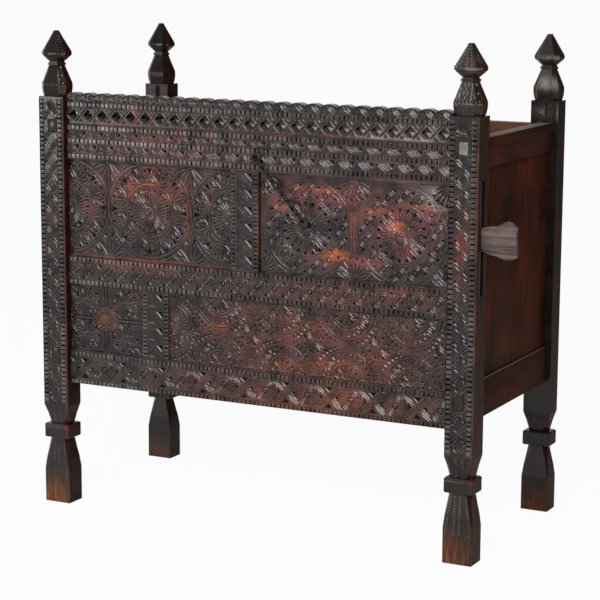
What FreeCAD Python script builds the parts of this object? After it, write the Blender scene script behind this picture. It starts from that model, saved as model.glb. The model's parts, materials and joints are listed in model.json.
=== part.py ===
import FreeCAD, Part
import math
import os
import Sketcher

# Damchiya chest: a carved dowry chest on four legs, with a sliding door and a chain.
# X runs to the right of someone facing the front, Y to the back and Z up.
# The origin is on the floor, in the middle of the chest and its door handle together.

doc = FreeCAD.newDocument("damchiya_chest")
sheet = doc.addObject("Spreadsheet::Sheet", "Sizes")
X_AXIS = FreeCAD.Vector(1, 0, 0)
Y_AXIS = FreeCAD.Vector(0, 1, 0)
Z_AXIS = FreeCAD.Vector(0, 0, 1)
sizes_written = []
chest_pieces = []


# A size carries its number and the formula that keeps it tied to the sheet

class Size:
    def __init__(self, number, formula):
        self.number = float(number)
        self.formula = formula

    def __add__(self, other):
        return joined(self, "+", other)

    def __radd__(self, other):
        return joined(other, "+", self)

    def __sub__(self, other):
        return joined(self, "-", other)

    def __rsub__(self, other):
        return joined(other, "-", self)

    def __mul__(self, other):
        return joined(self, "*", other)

    def __rmul__(self, other):
        return joined(other, "*", self)

    def __truediv__(self, other):
        return joined(self, "/", other)

    def __neg__(self):
        return joined(self, "*", -1)


def as_size(value):
    if isinstance(value, Size):
        return value
    return Size(value, "(" + repr(value) + ")")


def joined(first, sign, second):
    a = as_size(first)
    b = as_size(second)
    numbers = {"+": a.number + b.number, "-": a.number - b.number, "*": a.number * b.number}
    number = a.number / b.number if sign == "/" else numbers[sign]
    return Size(number, "(" + a.formula + " " + sign + " " + b.formula + ")")


def size(name, number):
    sizes_written.append(name)
    row = len(sizes_written)
    sheet.set("A" + str(row), name)
    sheet.set("B" + str(row), str(number))
    sheet.setAlias("B" + str(row), name)
    return Size(number, "Sizes." + name)


# Driving sizes of the whole chest

chest_width = size("chest_width", 1130)
chest_depth = size("chest_depth", 536)
chest_height = size("chest_height", 1150)
finial_height = size("finial_height", 155)
block_top = chest_height - finial_height

# Posts

front_post_width = size("front_post_width", 70)
front_post_depth = size("front_post_depth", 56)
rear_post_width = size("rear_post_width", 68)
rear_post_depth = size("rear_post_depth", 52)
shaft_foot = size("shaft_foot", 244)
foot_top = size("foot_top", 83)
collar_low = size("collar_low", 162)
collar_height = size("collar_height", 34)
front_waist_inset = size("front_waist_inset", 8)
rear_waist_inset = size("rear_waist_inset", 10)
waist_chamfer = size("waist_chamfer", 10)
arris = size("arris", 1.2)

# Front frame: the lower rails are set out from the floor, the top rail from the top of the posts

rail_recess = size("rail_recess", 14)
rail_thickness = size("rail_thickness", 32)
bottom_rail_low = size("bottom_rail_low", 302)
bottom_rail_high = size("bottom_rail_high", 385)
mid_rail_low = size("mid_rail_low", 546)
mid_rail_high = size("mid_rail_high", 615)
top_rail_drop = size("top_rail_drop", 61)
top_rail_depth = size("top_rail_depth", 88)
top_rail_high = block_top - top_rail_drop
top_rail_low = top_rail_high - top_rail_depth
tenon_length = size("tenon_length", 20)
tenon_margin = size("tenon_margin", 14)
tenon_shoulder = size("tenon_shoulder", 7)
upper_muntin_left = size("upper_muntin_left", 516)
lower_muntin_left = size("lower_muntin_left", 276)
muntin_width = size("muntin_width", 70)

# Panels in their grooves

panel_step = size("panel_step", 5)
panel_thickness = size("panel_thickness", 14.6)
groove_depth = size("groove_depth", 9)

# Crest board with its scallops and pierced diamonds

crest_thickness = size("crest_thickness", 22)
crest_height = size("crest_height", 65.5)
scallop_rise = size("scallop_rise", 7)
diamond_rise = size("diamond_rise", 5.5)
diamond_height = size("diamond_height", 29)
diamond_width = size("diamond_width", 27.5)
scallops = 25

# Sliding door with its fish tail handle

door_thickness = size("door_thickness", 14)
door_play = size("door_play", 0.3)
door_gap = size("door_gap", 4)
slot_play = size("slot_play", 1.5)
handle_reach = size("handle_reach", 84)
handle_root = size("handle_root", 20)
neck_low = size("neck_low", 703.5)
neck_high = size("neck_high", 755)
tail_thickness = size("tail_thickness", 13)

# Side frames

side_recess = size("side_recess", 15)
side_thickness = size("side_thickness", 34)
side_top_drop = size("side_top_drop", 51)
side_top_depth = size("side_top_depth", 66)
side_top_high = block_top - side_top_drop
side_top_low = side_top_high - side_top_depth
side_bottom_low = size("side_bottom_low", 321)
side_bottom_high = size("side_bottom_high", 407)
side_tenon_width = size("side_tenon_width", 22)
side_tenon_margin = size("side_tenon_margin", 4)
side_top_tenon = size("side_top_tenon", 28)
side_bottom_tenon = size("side_bottom_tenon", 38)
side_tenon_rise = size("side_tenon_rise", 29)
side_panel_step = size("side_panel_step", 7)
side_panel_thickness = size("side_panel_thickness", 14)
side_groove_depth = size("side_groove_depth", 8)

# Back frame

back_recess = size("back_recess", 14)
back_thickness = size("back_thickness", 30)
back_top_drop = size("back_top_drop", 55)
back_top_high = block_top - back_top_drop
back_tenon_length = size("back_tenon_length", 18)
back_panel_step = size("back_panel_step", 7)
plank_gap = size("plank_gap", 0.6)
back_planks = 5

# Deck under the tray and floor of the cabinet

deck_drop = size("deck_drop", 90)
deck_top = block_top - deck_drop
floor_top = size("floor_top", 347)
board_thickness = size("board_thickness", 16)
board_gap = size("board_gap", 0.8)
bearer_width = size("bearer_width", 40)
deck_bearer_height = size("deck_bearer_height", 38)
floor_bearer_height = size("floor_bearer_height", 27)
bearer_tenon = size("bearer_tenon", 8)
bearer_shoulder = size("bearer_shoulder", 5)
board_rows = ("front", "middle", "rear")

# Iron work: the chain hangs on a nail through the door and lies in front of a staple on the rail

fit_gap = size("fit_gap", 0.3)
nail_across = size("nail_across", 709.6)
nail_up = size("nail_up", 732)
nail_radius = size("nail_radius", 3.5)
nail_head_radius = size("nail_head_radius", 9.2)
nail_head_height = size("nail_head_height", 3)
nail_tail = size("nail_tail", 4)
eye_radius = size("eye_radius", 10.9)
eye_wire = size("eye_wire", 2.3)
link_wire = size("link_wire", 1.9)
link_width = size("link_width", 12.8)
ring_outer = size("ring_outer", 14)
ring_inner = size("ring_inner", 7)
ring_thickness = size("ring_thickness", 3.5)
chain_depth = size("chain_depth", 7.2)
staple_across = size("staple_across", 583)
staple_rise = size("staple_rise", 31)
staple_wire = size("staple_wire", 2)
staple_span = size("staple_span", 12)
staple_leg = size("staple_leg", 16)
chain_links = 9

# Where the frame stands

left_face = -(chest_width + handle_reach) / 2
right_face = left_face + chest_width
front_face = -chest_depth / 2
back_face = chest_depth / 2
inner_left = left_face + front_post_width
inner_right = right_face - front_post_width
inner_width = chest_width - 2 * front_post_width
rail_front = front_face + rail_recess
rail_back = rail_front + rail_thickness
panel_front = rail_front + panel_step
panel_back = panel_front + panel_thickness
slot_low = mid_rail_high - groove_depth
slot_high = top_rail_low + groove_depth

doc.recompute()


# Small functions for features

def vector(x, y, z):
    return FreeCAD.Vector(as_size(x).number, as_size(y).number, as_size(z).number)


def bind(thing, prop, value):
    thing.setExpression(prop, as_size(value).formula)


def place(thing, x, y, z):
    thing.Placement = FreeCAD.Placement(vector(x, y, z), FreeCAD.Rotation())
    bind(thing, "Placement.Base.x", x)
    bind(thing, "Placement.Base.y", y)
    bind(thing, "Placement.Base.z", z)


def new_body(label, x, y, z):
    body = doc.addObject("PartDesign::Body", label)
    body.Label = label
    place(body, x, y, z)
    chest_pieces.append(body)
    return body


def origin_part(body, role):
    return next(part for part in body.Origin.OriginFeatures if part.Role == role)


def tie(sketch, kind, geometry, corner, value):
    # A sketch can't hold a distance of zero from its axis, so such a point lies on the axis
    if abs(as_size(value).number) < 1e-9:
        axis = -2 if kind == "DistanceX" else -1
        sketch.addConstraint(Sketcher.Constraint("PointOnObject", geometry, corner, axis))
        return
    index = sketch.addConstraint(Sketcher.Constraint(kind, -1, 1, geometry, corner, as_size(value).number))
    sketch.setExpression("Constraints[" + str(index) + "]", as_size(value).formula)


def arc_between(start, end, radius):
    # A positive radius bulges to the right of the way from start to end
    half = (end - start) / 2
    side = FreeCAD.Vector(-half.y, half.x, 0)
    side.normalize()
    rise = math.sqrt(max(radius * radius - half.Length ** 2, 0))
    centre = start + half + side * math.copysign(rise, radius)
    first = math.atan2(start.y - centre.y, start.x - centre.x)
    last = math.atan2(end.y - centre.y, end.x - centre.x)
    circle = Part.Circle(centre, Z_AXIS, abs(radius))
    if radius > 0:
        return Part.ArcOfCircle(circle, first, last if last > first else last + 2 * math.pi)
    return Part.ArcOfCircle(circle, last, first if first > last else first + 2 * math.pi)


def draw(sketch, points):
    # Each point is (across, up), or (across, up, radius) where an arc leaves it
    corners = [vector(point[0], point[1], 0) for point in points]
    ends = []
    for number, point in enumerate(points):
        start = corners[number]
        end = corners[(number + 1) % len(points)]
        if len(point) > 2:
            index = sketch.addGeometry(arc_between(start, end, point[2].number), False)
            forward = point[2].number > 0
            ends.append((1, 2) if forward else (2, 1))
            rule = sketch.addConstraint(Sketcher.Constraint("Radius", index, abs(point[2].number)))
            wanted = point[2] if forward else -point[2]
            sketch.setExpression("Constraints[" + str(rule) + "]", wanted.formula)
        else:
            sketch.addGeometry(Part.LineSegment(start, end), False)
            ends.append((1, 2))
    for number, point in enumerate(points):
        following = (number + 1) % len(points)
        sketch.addConstraint(Sketcher.Constraint("Coincident", number, ends[number][1],
                                                 following, ends[following][0]))
        tie(sketch, "DistanceX", number, ends[number][0], point[0])
        tie(sketch, "DistanceY", number, ends[number][0], point[1])
    return sketch


def outline(body, plane, offset, points):
    sketch = body.newObject("Sketcher::SketchObject", "Outline")
    sketch.AttachmentSupport = [(origin_part(body, plane), "")]
    sketch.MapMode = "FlatFace"
    sketch.AttachmentOffset = FreeCAD.Placement(vector(0, 0, offset), FreeCAD.Rotation())
    bind(sketch, "AttachmentOffset.Base.z", offset)
    return draw(sketch, points)


def pad(body, sketch, length, backwards=False):
    feature = body.newObject("PartDesign::Pad", "Pad")
    feature.Profile = sketch
    feature.Length = as_size(length).number
    bind(feature, "Length", length)
    feature.Reversed = backwards
    return feature


def block(body, kind, low, high):
    feature = body.newObject("PartDesign::" + kind + "Box", "Block")
    for prop, near, far in zip(("Length", "Width", "Height"), low, high):
        setattr(feature, prop, as_size(far - near).number)
        bind(feature, prop, far - near)
    place(feature, *low)
    return feature


def row_of(body, original, axis, count, pitch):
    feature = body.newObject("PartDesign::LinearPattern", "Row")
    feature.Originals = [original]
    feature.Direction = (origin_part(body, axis), [""])
    feature.Length = (pitch * (count - 1)).number
    bind(feature, "Length", pitch * (count - 1))
    feature.Occurrences = count
    body.Tip = feature
    return feature


def facing(sign, near, far):
    # The stretch from near to far along an inward direction, as low and high
    return (as_size(near), as_size(far)) if sign > 0 else (-as_size(far), -as_size(near))


# Posts: one timber each, sawn to the same outline from both faces and then along both diagonals

pear_shares = ((0, 0.86), (0.10, 0.94), (0.245, 0.99), (0.34, 1), (0.435, 0.985), (1, 0.51))
onion_shares = ((0, 0.50), (0.055, 0.50), (0.075, 0.57), (0.24, 0.95), (0.30, 0.975), (0.355, 0.955),
                (0.68, 0.55), (1, 0.16))
pear_share = 0.475
ring_share = 0.035
ring_swell_share = 0.58
octagon_share = 0.45
flare_shares = ((0, 0), (0.34, 0.27), (0.66, 0.64), (1, 1))
neck_shares = ((0, 1), (0.54, 0.53), (1, 0))
diagonal_share = math.sqrt(0.5)


def post_stations(width, depth, waist_inset):
    # Height, half width, half depth and corner cut, from the floor up
    stations = []

    def leg(height, inset, corner):
        stations.append((as_size(height), width / 2 - inset, depth / 2 - inset, as_size(corner)))

    def finial(height, share):
        corner = (width + depth) / 4 * share * octagon_share
        stations.append((height, width / 2 * share, depth / 2 * share, corner))

    leg(0, arris, arris)
    flare = collar_low - foot_top
    for up, share in flare_shares:
        leg(foot_top + flare * up, waist_inset * share, arris + (waist_chamfer - arris) * share)
    collar_high = collar_low + collar_height
    leg(collar_low, arris, arris * 2)
    leg(collar_low + arris * 2, as_size(0), arris * 2)
    leg(collar_high - arris * 2, as_size(0), arris * 2)
    leg(collar_high, arris * 2, arris * 3)
    neck = shaft_foot - collar_high
    for up, share in neck_shares:
        leg(collar_high + neck * up, waist_inset * share, arris + (waist_chamfer - arris) * share)
    leg(block_top, as_size(0), arris)
    pear = finial_height * pear_share
    for up, share in pear_shares:
        finial(block_top + pear * up, share)
    ring_low = block_top + pear
    ring_high = ring_low + finial_height * ring_share
    finial(ring_low, ring_swell_share)
    finial(ring_high, ring_swell_share)
    for up, share in onion_shares:
        finial(ring_high + (chest_height - ring_high) * up, share)
    return stations


def silhouette(label, turn, halves, length):
    # A closed outline, the same on both sides of the middle, sawn right through the timber
    sketch = doc.addObject("Sketcher::SketchObject", label + "_outline")
    sketch.Placement = FreeCAD.Placement(vector(0, 0, 0), turn)
    draw(sketch, [(half, up) for half, up in halves] + [(-half, up) for half, up in reversed(halves)])
    sawn = doc.addObject("Part::Extrusion", label)
    sawn.Base = sketch
    sawn.DirMode = "Normal"
    sawn.Solid = True
    sawn.Symmetric = True
    sawn.LengthFwd = length.number
    bind(sawn, "LengthFwd", length)
    return sawn


def post_blank(label, width, depth, waist_inset):
    stations = post_stations(width, depth, waist_inset)
    upright = FreeCAD.Rotation(X_AXIS, 90)
    across = [(half, up) for up, half, deep, corner in stations]
    sideways = [(deep, up) for up, half, deep, corner in stations]
    diagonal = [((half + deep - corner) * diagonal_share, up) for up, half, deep, corner in stations]
    sawn = [silhouette(label + "_front", upright, across, depth),
            silhouette(label + "_side", FreeCAD.Rotation(Z_AXIS, 90) * upright, sideways, width)]
    for name, turn in (("_first_diagonal", 45), ("_second_diagonal", 135)):
        sawn.append(silhouette(label + name, FreeCAD.Rotation(Z_AXIS, turn) * upright, diagonal,
                               (width + depth) * 2))
    blank = doc.addObject("Part::MultiCommon", label)
    blank.Shapes = sawn
    return blank


def post(label, blank, x, y, width, depth, inward_x, inward_y):
    body = new_body(label, x, y, 0)
    body.BaseFeature = blank

    def cut(u_near, u_far, v_near, v_far, low, high):
        # u runs inward from the outer side face, v inward from the outer front or back face
        x_low, x_high = facing(inward_x, u_near - width / 2, u_far - width / 2)
        y_low, y_high = facing(inward_y, v_near - depth / 2, v_far - depth / 2)
        block(body, "Subtractive", (x_low, y_low, low), (x_high, y_high, high))

    tenon_far = side_recess + side_thickness
    tenon_near = tenon_far - side_tenon_width
    for low, high in side_tenon_heights:
        cut(tenon_near, tenon_far, as_size(0), depth, low, high)
    plank_near = side_recess + side_panel_step
    cut(plank_near, plank_near + side_panel_thickness, depth - side_groove_depth, depth,
        side_bottom_high - side_groove_depth, side_top_low + side_groove_depth)
    return cut


front_blank = post_blank("front_post_timber", front_post_width, front_post_depth, front_waist_inset)
rear_blank = post_blank("rear_post_timber", rear_post_width, rear_post_depth, rear_waist_inset)
top_tenon_high = side_top_high - side_tenon_margin
bottom_tenon_low = side_bottom_low + side_tenon_rise
side_tenon_heights = ((bottom_tenon_low, bottom_tenon_low + side_bottom_tenon),
                      (top_tenon_high - side_top_tenon, top_tenon_high))
front_tenon_heights = ((bottom_rail_low + tenon_margin, bottom_rail_high - tenon_margin),
                       (mid_rail_low + tenon_margin, mid_rail_high - tenon_margin),
                       (top_rail_low + tenon_margin, top_rail_high - tenon_margin))
crest_tenon = (top_rail_high + tenon_margin / 2, block_top - tenon_margin)
back_tenon_heights = ((bottom_rail_low + tenon_margin, bottom_rail_high - tenon_margin),
                      (top_rail_low + tenon_margin, back_top_high - tenon_margin))

for side, across, inward in (("left", left_face + front_post_width / 2, 1),
                             ("right", right_face - front_post_width / 2, -1)):
    cut = post("front_" + side + "_post", front_blank, across, front_face + front_post_depth / 2,
               front_post_width, front_post_depth, inward, 1)
    for low, high in front_tenon_heights:
        cut(front_post_width - tenon_length, front_post_width, rail_recess + tenon_shoulder,
            rail_recess + rail_thickness - tenon_shoulder, low, high)
    cut(front_post_width - tenon_length, front_post_width, rail_recess, rail_recess + crest_thickness,
        *crest_tenon)
    groove_near = rail_recess + panel_step
    cut(front_post_width - groove_depth, front_post_width, groove_near, groove_near + panel_thickness,
        bottom_rail_high - groove_depth, mid_rail_low + groove_depth)
    if inward > 0:
        cut(front_post_width - groove_depth, front_post_width, groove_near, groove_near + panel_thickness,
            slot_low, slot_high)
    else:
        cut(as_size(0), front_post_width, groove_near - slot_play, groove_near + panel_thickness + slot_play,
            slot_low - slot_play, slot_high + slot_play)

rear_offset = back_recess + back_thickness
for side, across, inward in (("left", left_face + rear_post_width / 2, 1),
                             ("right", right_face - rear_post_width / 2, -1)):
    cut = post("rear_" + side + "_post", rear_blank, across, back_face - rear_post_depth / 2,
               rear_post_width, rear_post_depth, inward, -1)
    for low, high in back_tenon_heights:
        cut(rear_post_width - back_tenon_length, rear_post_width, back_recess + tenon_shoulder,
            rear_offset - tenon_shoulder, low, high)
    cut(rear_post_width - side_groove_depth, rear_post_width, back_recess + back_panel_step,
        back_recess + back_panel_step + side_panel_thickness,
        bottom_rail_high - side_groove_depth, top_rail_low + side_groove_depth)


# Rails of the front and the back: a grooved section run along X, with a stub tenon at each end

def grooved_section(thick, height, groove, groove_below, groove_above):
    near, far, depth = groove
    points = [(as_size(0), as_size(0))]
    if groove_below:
        points += [(near, as_size(0)), (near, depth), (far, depth), (far, as_size(0))]
    points += [(thick, as_size(0)), (thick, height)]
    if groove_above:
        points += [(far, height), (far, height - depth), (near, height - depth), (near, height)]
    return points + [(as_size(0), height)]


def long_rail(label, start, length, front, thick, low, high, groove, tenon, heights, below, above):
    body = new_body(label, start, front, low)
    section = outline(body, "YZ_Plane", 0, grooved_section(thick, high - low, groove, below, above))
    pad(body, section, length)
    for x_low, x_high in ((-tenon, as_size(0)), (length, length + tenon)):
        block(body, "Additive", (x_low, tenon_shoulder, heights[0] - low),
              (x_high, thick - tenon_shoulder, heights[1] - low))
    return body


def bearer_mortises(body, start, low, height, y_low, y_high):
    for middle in bearer_middles:
        near = middle - bearer_width / 2 + bearer_shoulder - start
        far = middle + bearer_width / 2 - bearer_shoulder - start
        block(body, "Subtractive", (near, y_low, bearer_shoulder + low),
              (far, y_high, height - bearer_shoulder + low))


bearer_middles = (inner_left + bearer_width / 2, (left_face + right_face) / 2, inner_right - bearer_width / 2)
deck_bearer_low = deck_top - board_thickness - deck_bearer_height
floor_bearer_low = floor_top - board_thickness - floor_bearer_height
front_groove = (panel_step, panel_step + panel_thickness, groove_depth)
back_near = back_thickness - back_panel_step - side_panel_thickness
back_groove = (back_near, back_near + side_panel_thickness, side_groove_depth)

front_bottom_rail = long_rail("front_bottom_rail", inner_left, inner_width, rail_front, rail_thickness,
                              bottom_rail_low, bottom_rail_high, front_groove, tenon_length,
                              front_tenon_heights[0], False, True)
bearer_mortises(front_bottom_rail, inner_left, floor_bearer_low - bottom_rail_low, floor_bearer_height,
                rail_thickness - bearer_tenon, rail_thickness)
long_rail("front_mid_rail", inner_left, inner_width, rail_front, rail_thickness,
          mid_rail_low, mid_rail_high, front_groove, tenon_length, front_tenon_heights[1], True, True)
front_top_rail = long_rail("front_top_rail", inner_left, inner_width, rail_front, rail_thickness,
                           top_rail_low, top_rail_high, front_groove, tenon_length,
                           front_tenon_heights[2], True, False)
bearer_mortises(front_top_rail, inner_left, deck_bearer_low - top_rail_low, deck_bearer_height,
                rail_thickness - bearer_tenon, rail_thickness)

back_start = left_face + rear_post_width
back_length = chest_width - 2 * rear_post_width
back_front = back_face - rear_offset
back_bottom_rail = long_rail("back_bottom_rail", back_start, back_length, back_front, back_thickness,
                             bottom_rail_low, bottom_rail_high, back_groove, back_tenon_length,
                             back_tenon_heights[0], False, True)
bearer_mortises(back_bottom_rail, back_start, floor_bearer_low - bottom_rail_low, floor_bearer_height,
                as_size(0), bearer_tenon)
back_top_rail = long_rail("back_top_rail", back_start, back_length, back_front, back_thickness,
                          top_rail_low, back_top_high, back_groove, back_tenon_length,
                          back_tenon_heights[1], True, False)
bearer_mortises(back_top_rail, back_start, deck_bearer_low - top_rail_low, deck_bearer_height,
                as_size(0), bearer_tenon)


# Crest board: scallops along its top and a row of diamonds cut right through

crest = new_body("crest_board", inner_left, rail_front, top_rail_high)
zero = as_size(0)
pad(crest, outline(crest, "XZ_Plane", 0, [(zero, zero), (inner_width, zero), (inner_width, crest_height),
                                          (zero, crest_height)]), crest_thickness, backwards=True)
for x_low, x_high in ((-tenon_length, zero), (inner_width, inner_width + tenon_length)):
    block(crest, "Additive", (x_low, zero, crest_tenon[0] - top_rail_high),
          (x_high, crest_thickness, crest_tenon[1] - top_rail_high))
pitch = inner_width / scallops
scallop_radius = (scallop_rise * scallop_rise + pitch * pitch / 4) / (2 * scallop_rise)
scallop_base = crest_height - scallop_rise
scallop = pad(crest, outline(crest, "XZ_Plane", 0, [(zero, scallop_base), (pitch, scallop_base),
                                                    (pitch, crest_height, scallop_radius),
                                                    (zero, crest_height)]),
              crest_thickness, backwards=True)
row_of(crest, scallop, "X_Axis", scallops, pitch)
diamond_middle = diamond_rise + diamond_height / 2
diamond = crest.newObject("PartDesign::Pocket", "Diamond")
diamond.Profile = outline(crest, "XZ_Plane", 0, [(pitch / 2, diamond_rise),
                                                 (pitch / 2 + diamond_width / 2, diamond_middle),
                                                 (pitch / 2, diamond_rise + diamond_height),
                                                 (pitch / 2 - diamond_width / 2, diamond_middle)])
diamond.Type = "Length"
diamond.Length = crest_thickness.number
bind(diamond, "Length", crest_thickness)
row_of(crest, diamond, "X_Axis", scallops, pitch)


# Muntins: short uprights between rails, grooved on the edges that hold panels

def muntin(label, start, low, high):
    body = new_body(label, start, rail_front, low)
    near, far, depth = front_groove
    width = muntin_width
    points = [(as_size(0), as_size(0)), (width, as_size(0))]
    points += [(width, near), (width - depth, near), (width - depth, far), (width, far)]
    points += [(width, rail_thickness), (as_size(0), rail_thickness)]
    points += [(as_size(0), far), (depth, far), (depth, near), (as_size(0), near)]
    pad(body, outline(body, "XY_Plane", 0, points), high - low)
    for z_low, z_high in ((-depth, as_size(0)), (high - low, high - low + depth)):
        block(body, "Additive", (depth, near, z_low), (width - depth, far, z_high))


muntin("upper_muntin", left_face + upper_muntin_left, mid_rail_high, top_rail_low)
muntin("lower_muntin", left_face + lower_muntin_left, bottom_rail_high, mid_rail_low)


# Fixed panels: thick boards whose edges fill the grooves round them

def plank(label, corner, far_corner):
    thing = doc.addObject("Part::Box", label)
    thing.Label = label
    for prop, near, far in zip(("Length", "Width", "Height"), corner, far_corner):
        setattr(thing, prop, (far - near).number)
        bind(thing, prop, far - near)
    place(thing, *corner)
    chest_pieces.append(thing)


upper_muntin_x = left_face + upper_muntin_left
lower_muntin_x = left_face + lower_muntin_left
lower_panels_low = bottom_rail_high - groove_depth
lower_panels_high = mid_rail_low + groove_depth
plank("upper_left_panel", (inner_left - groove_depth, panel_front, slot_low),
      (upper_muntin_x + groove_depth, panel_back, slot_high))
plank("lower_left_panel", (inner_left - groove_depth, panel_front, lower_panels_low),
      (lower_muntin_x + groove_depth, panel_back, lower_panels_high))
plank("lower_right_panel", (lower_muntin_x + muntin_width - groove_depth, panel_front, lower_panels_low),
      (inner_right + groove_depth, panel_back, lower_panels_high))


# Sliding door: one plank that runs in the rail grooves and out through the post as a fish tail

tail_top_shares = ((0.024, 1), (0.23, 1.09), (0.42, 1.10), (0.52, 1.19), (0.61, 1.29), (0.70, 1.33),
                   (0.79, 1.30), (0.88, 1.20), (0.976, 1.07))
tail_end_shares = ((0.955, 0.80), (0.965, 0.38), (0.99, 0.08), (1, -0.11))
tail_bottom_shares = ((0.93, -0.20), (0.82, -0.26), (0.68, -0.285), (0.55, -0.22), (0.42, -0.15),
                      (0.21, -0.105), (0.06, 0))

nail_x = left_face + nail_across
door_left = upper_muntin_x + muntin_width + door_gap
door_low = slot_low + door_play
door_high = slot_high - door_play
door_front = panel_front + door_play
door = new_body("sliding_door", door_left, door_front, door_low)
shoulder = right_face - handle_root - door_left
plate = outline(door, "XZ_Plane", 0, [(as_size(0), as_size(0)), (shoulder, as_size(0)),
                                      (shoulder, door_high - door_low), (as_size(0), door_high - door_low)])
pad(door, plate, door_thickness, backwards=True)
neck = neck_high - neck_low
tail_points = [(shoulder, neck_low - door_low)]
tail_points += [(right_face - door_left + handle_reach * out, neck_low - door_low + neck * up)
                for out, up in tuple(reversed(tail_bottom_shares)) + tuple(reversed(tail_end_shares))]
tail_points += [(right_face - door_left + handle_reach * out, neck_low - door_low + neck * up)
                for out, up in reversed(tail_top_shares)]
tail_points += [(shoulder, neck_high - door_low)]
tail = outline(door, "XZ_Plane", -(door_thickness - tail_thickness) / 2, tail_points)
pad(door, tail, tail_thickness, backwards=True)


def bore(body, radius, length, x, y, z):
    # A round hole that runs to the back from the point given
    hole = body.newObject("PartDesign::SubtractiveCylinder", "Bore")
    hole.Radius = as_size(radius).number
    bind(hole, "Radius", radius)
    hole.Height = as_size(length).number
    bind(hole, "Height", length)
    place(hole, x, y, z)
    hole.Placement = FreeCAD.Placement(vector(x, y, z), FreeCAD.Rotation(X_AXIS, -90))


bore(door, nail_radius + fit_gap, door_thickness, nail_x - door_left, as_size(0), nail_up - door_low)

# Door nail: a forged head with eight facets, and a shank that goes right through the door

nail_facets = 8
rose_shares = ((0, 0.45), (0.45, 0.85), (1, 1))
head_back = front_face + chain_depth - eye_wire - fit_gap
nail = new_body("door_nail", nail_x, head_back - nail_head_height, nail_up)
shank_end = door_front + door_thickness + nail_tail - head_back + nail_head_height


def faceted(body, radius, depth):
    # An outline with eight corners, square to the nail
    turns = [math.pi * (2 * number + 1) / nail_facets for number in range(nail_facets)]
    points = [(radius * math.cos(turn), radius * math.sin(turn)) for turn in turns]
    return outline(body, "XZ_Plane", -depth, points)


head = nail.newObject("PartDesign::AdditiveLoft", "Head")
sections = [faceted(nail, nail_head_radius * out, nail_head_height * back) for back, out in rose_shares]
head.Profile = sections[0]
head.Sections = sections[1:]
head.Ruled = True
pad(nail, faceted(nail, nail_radius, nail_head_height), shank_end - nail_head_height, backwards=True)


# Side rails: tenons at both ends go right through the posts

side_start = front_face + front_post_depth
side_end = back_face - rear_post_depth
side_length = side_end - side_start
side_groove = (side_panel_step, side_panel_step + side_panel_thickness, side_groove_depth)


def side_rail(label, outer, inward, low, high, tenon_heights, below, above):
    body = new_body(label, outer, side_start, low)
    section = grooved_section(side_thickness, high - low, side_groove, below, above)
    pad(body, outline(body, "XZ_Plane", 0, [(across * inward, up) for across, up in section]),
        side_length, backwards=True)
    x_low, x_high = facing(inward, side_thickness - side_tenon_width, side_thickness)
    for y_low, y_high in ((-front_post_depth, as_size(0)), (side_length, side_length + rear_post_depth)):
        block(body, "Additive", (x_low, y_low, tenon_heights[0] - low), (x_high, y_high, tenon_heights[1] - low))


def planks(labels, start, end, gap, corners):
    # Boards side by side from start to end, with a fine gap between neighbours
    each = (end - start - gap * (len(labels) - 1)) / len(labels)
    for number, label in enumerate(labels):
        near = start + (each + gap) * number
        plank(label, *corners(near, near + each))


for side, outer, inward in (("left", left_face + side_recess, 1), ("right", right_face - side_recess, -1)):
    side_rail(side + "_bottom_rail", outer, inward, side_bottom_low, side_bottom_high,
              side_tenon_heights[0], False, True)
    side_rail(side + "_top_rail", outer, inward, side_top_low, side_top_high,
              side_tenon_heights[1], True, False)
    near, far = facing(inward, side_panel_step, side_panel_step + side_panel_thickness)
    planks([side + "_front_plank", side + "_rear_plank"], side_start - side_groove_depth,
           side_end + side_groove_depth, plank_gap,
           lambda y_low, y_high: ((outer + near, y_low, side_bottom_high - side_groove_depth),
                                  (outer + far, y_high, side_top_low + side_groove_depth)))


# Back planks stand in the grooves of the rear posts and the back rails

planks(["back_plank_" + str(number + 1) for number in range(back_planks)],
       back_start - side_groove_depth, back_start + back_length + side_groove_depth, plank_gap,
       lambda x_low, x_high: ((x_low, back_front + back_near, bottom_rail_high - side_groove_depth),
                              (x_high, back_front + back_near + side_panel_thickness,
                               top_rail_low + side_groove_depth)))


# Bearers run from front to back and carry the boards of the deck and of the floor

bearer_run = back_front - rail_back
for level, low, height in (("deck", deck_bearer_low, deck_bearer_height),
                           ("floor", floor_bearer_low, floor_bearer_height)):
    for spot, middle in zip(("left", "middle", "right"), bearer_middles):
        bearer = new_body(level + "_bearer_" + spot, middle - bearer_width / 2, rail_back, low)
        block(bearer, "Additive", (as_size(0), as_size(0), as_size(0)), (bearer_width, bearer_run, height))
        block(bearer, "Additive", (bearer_shoulder, -bearer_tenon, bearer_shoulder),
              (bearer_width - bearer_shoulder, bearer_run + bearer_tenon, height - bearer_shoulder))


# Boards lie across the bearers and are notched round the posts

board_left = left_face + side_recess + side_thickness + board_gap / 2
board_right = right_face - side_recess - side_thickness - board_gap / 2
board_run = board_right - board_left
board_depth = (bearer_run - board_gap * (len(board_rows) - 1)) / len(board_rows)
front_notch = (inner_left - board_left, side_start - rail_back)
rear_notch = (back_start - board_left, back_front - side_end)


def board(label, number, low):
    body = new_body(label, board_left, rail_back + (board_depth + board_gap) * number, low)
    front = [(zero, zero), (board_run, zero)]
    if number == 0:
        notch_x, notch_y = front_notch
        front = [(zero, notch_y), (notch_x, notch_y), (notch_x, zero), (board_run - notch_x, zero),
                 (board_run - notch_x, notch_y), (board_run, notch_y)]
    back = [(board_run, board_depth), (zero, board_depth)]
    if number == len(board_rows) - 1:
        notch_x, notch_y = rear_notch
        back = [(board_run, board_depth - notch_y), (board_run - notch_x, board_depth - notch_y),
                (board_run - notch_x, board_depth), (notch_x, board_depth),
                (notch_x, board_depth - notch_y), (zero, board_depth - notch_y)]
    pad(body, outline(body, "XY_Plane", 0, front + back), board_thickness)


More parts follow.
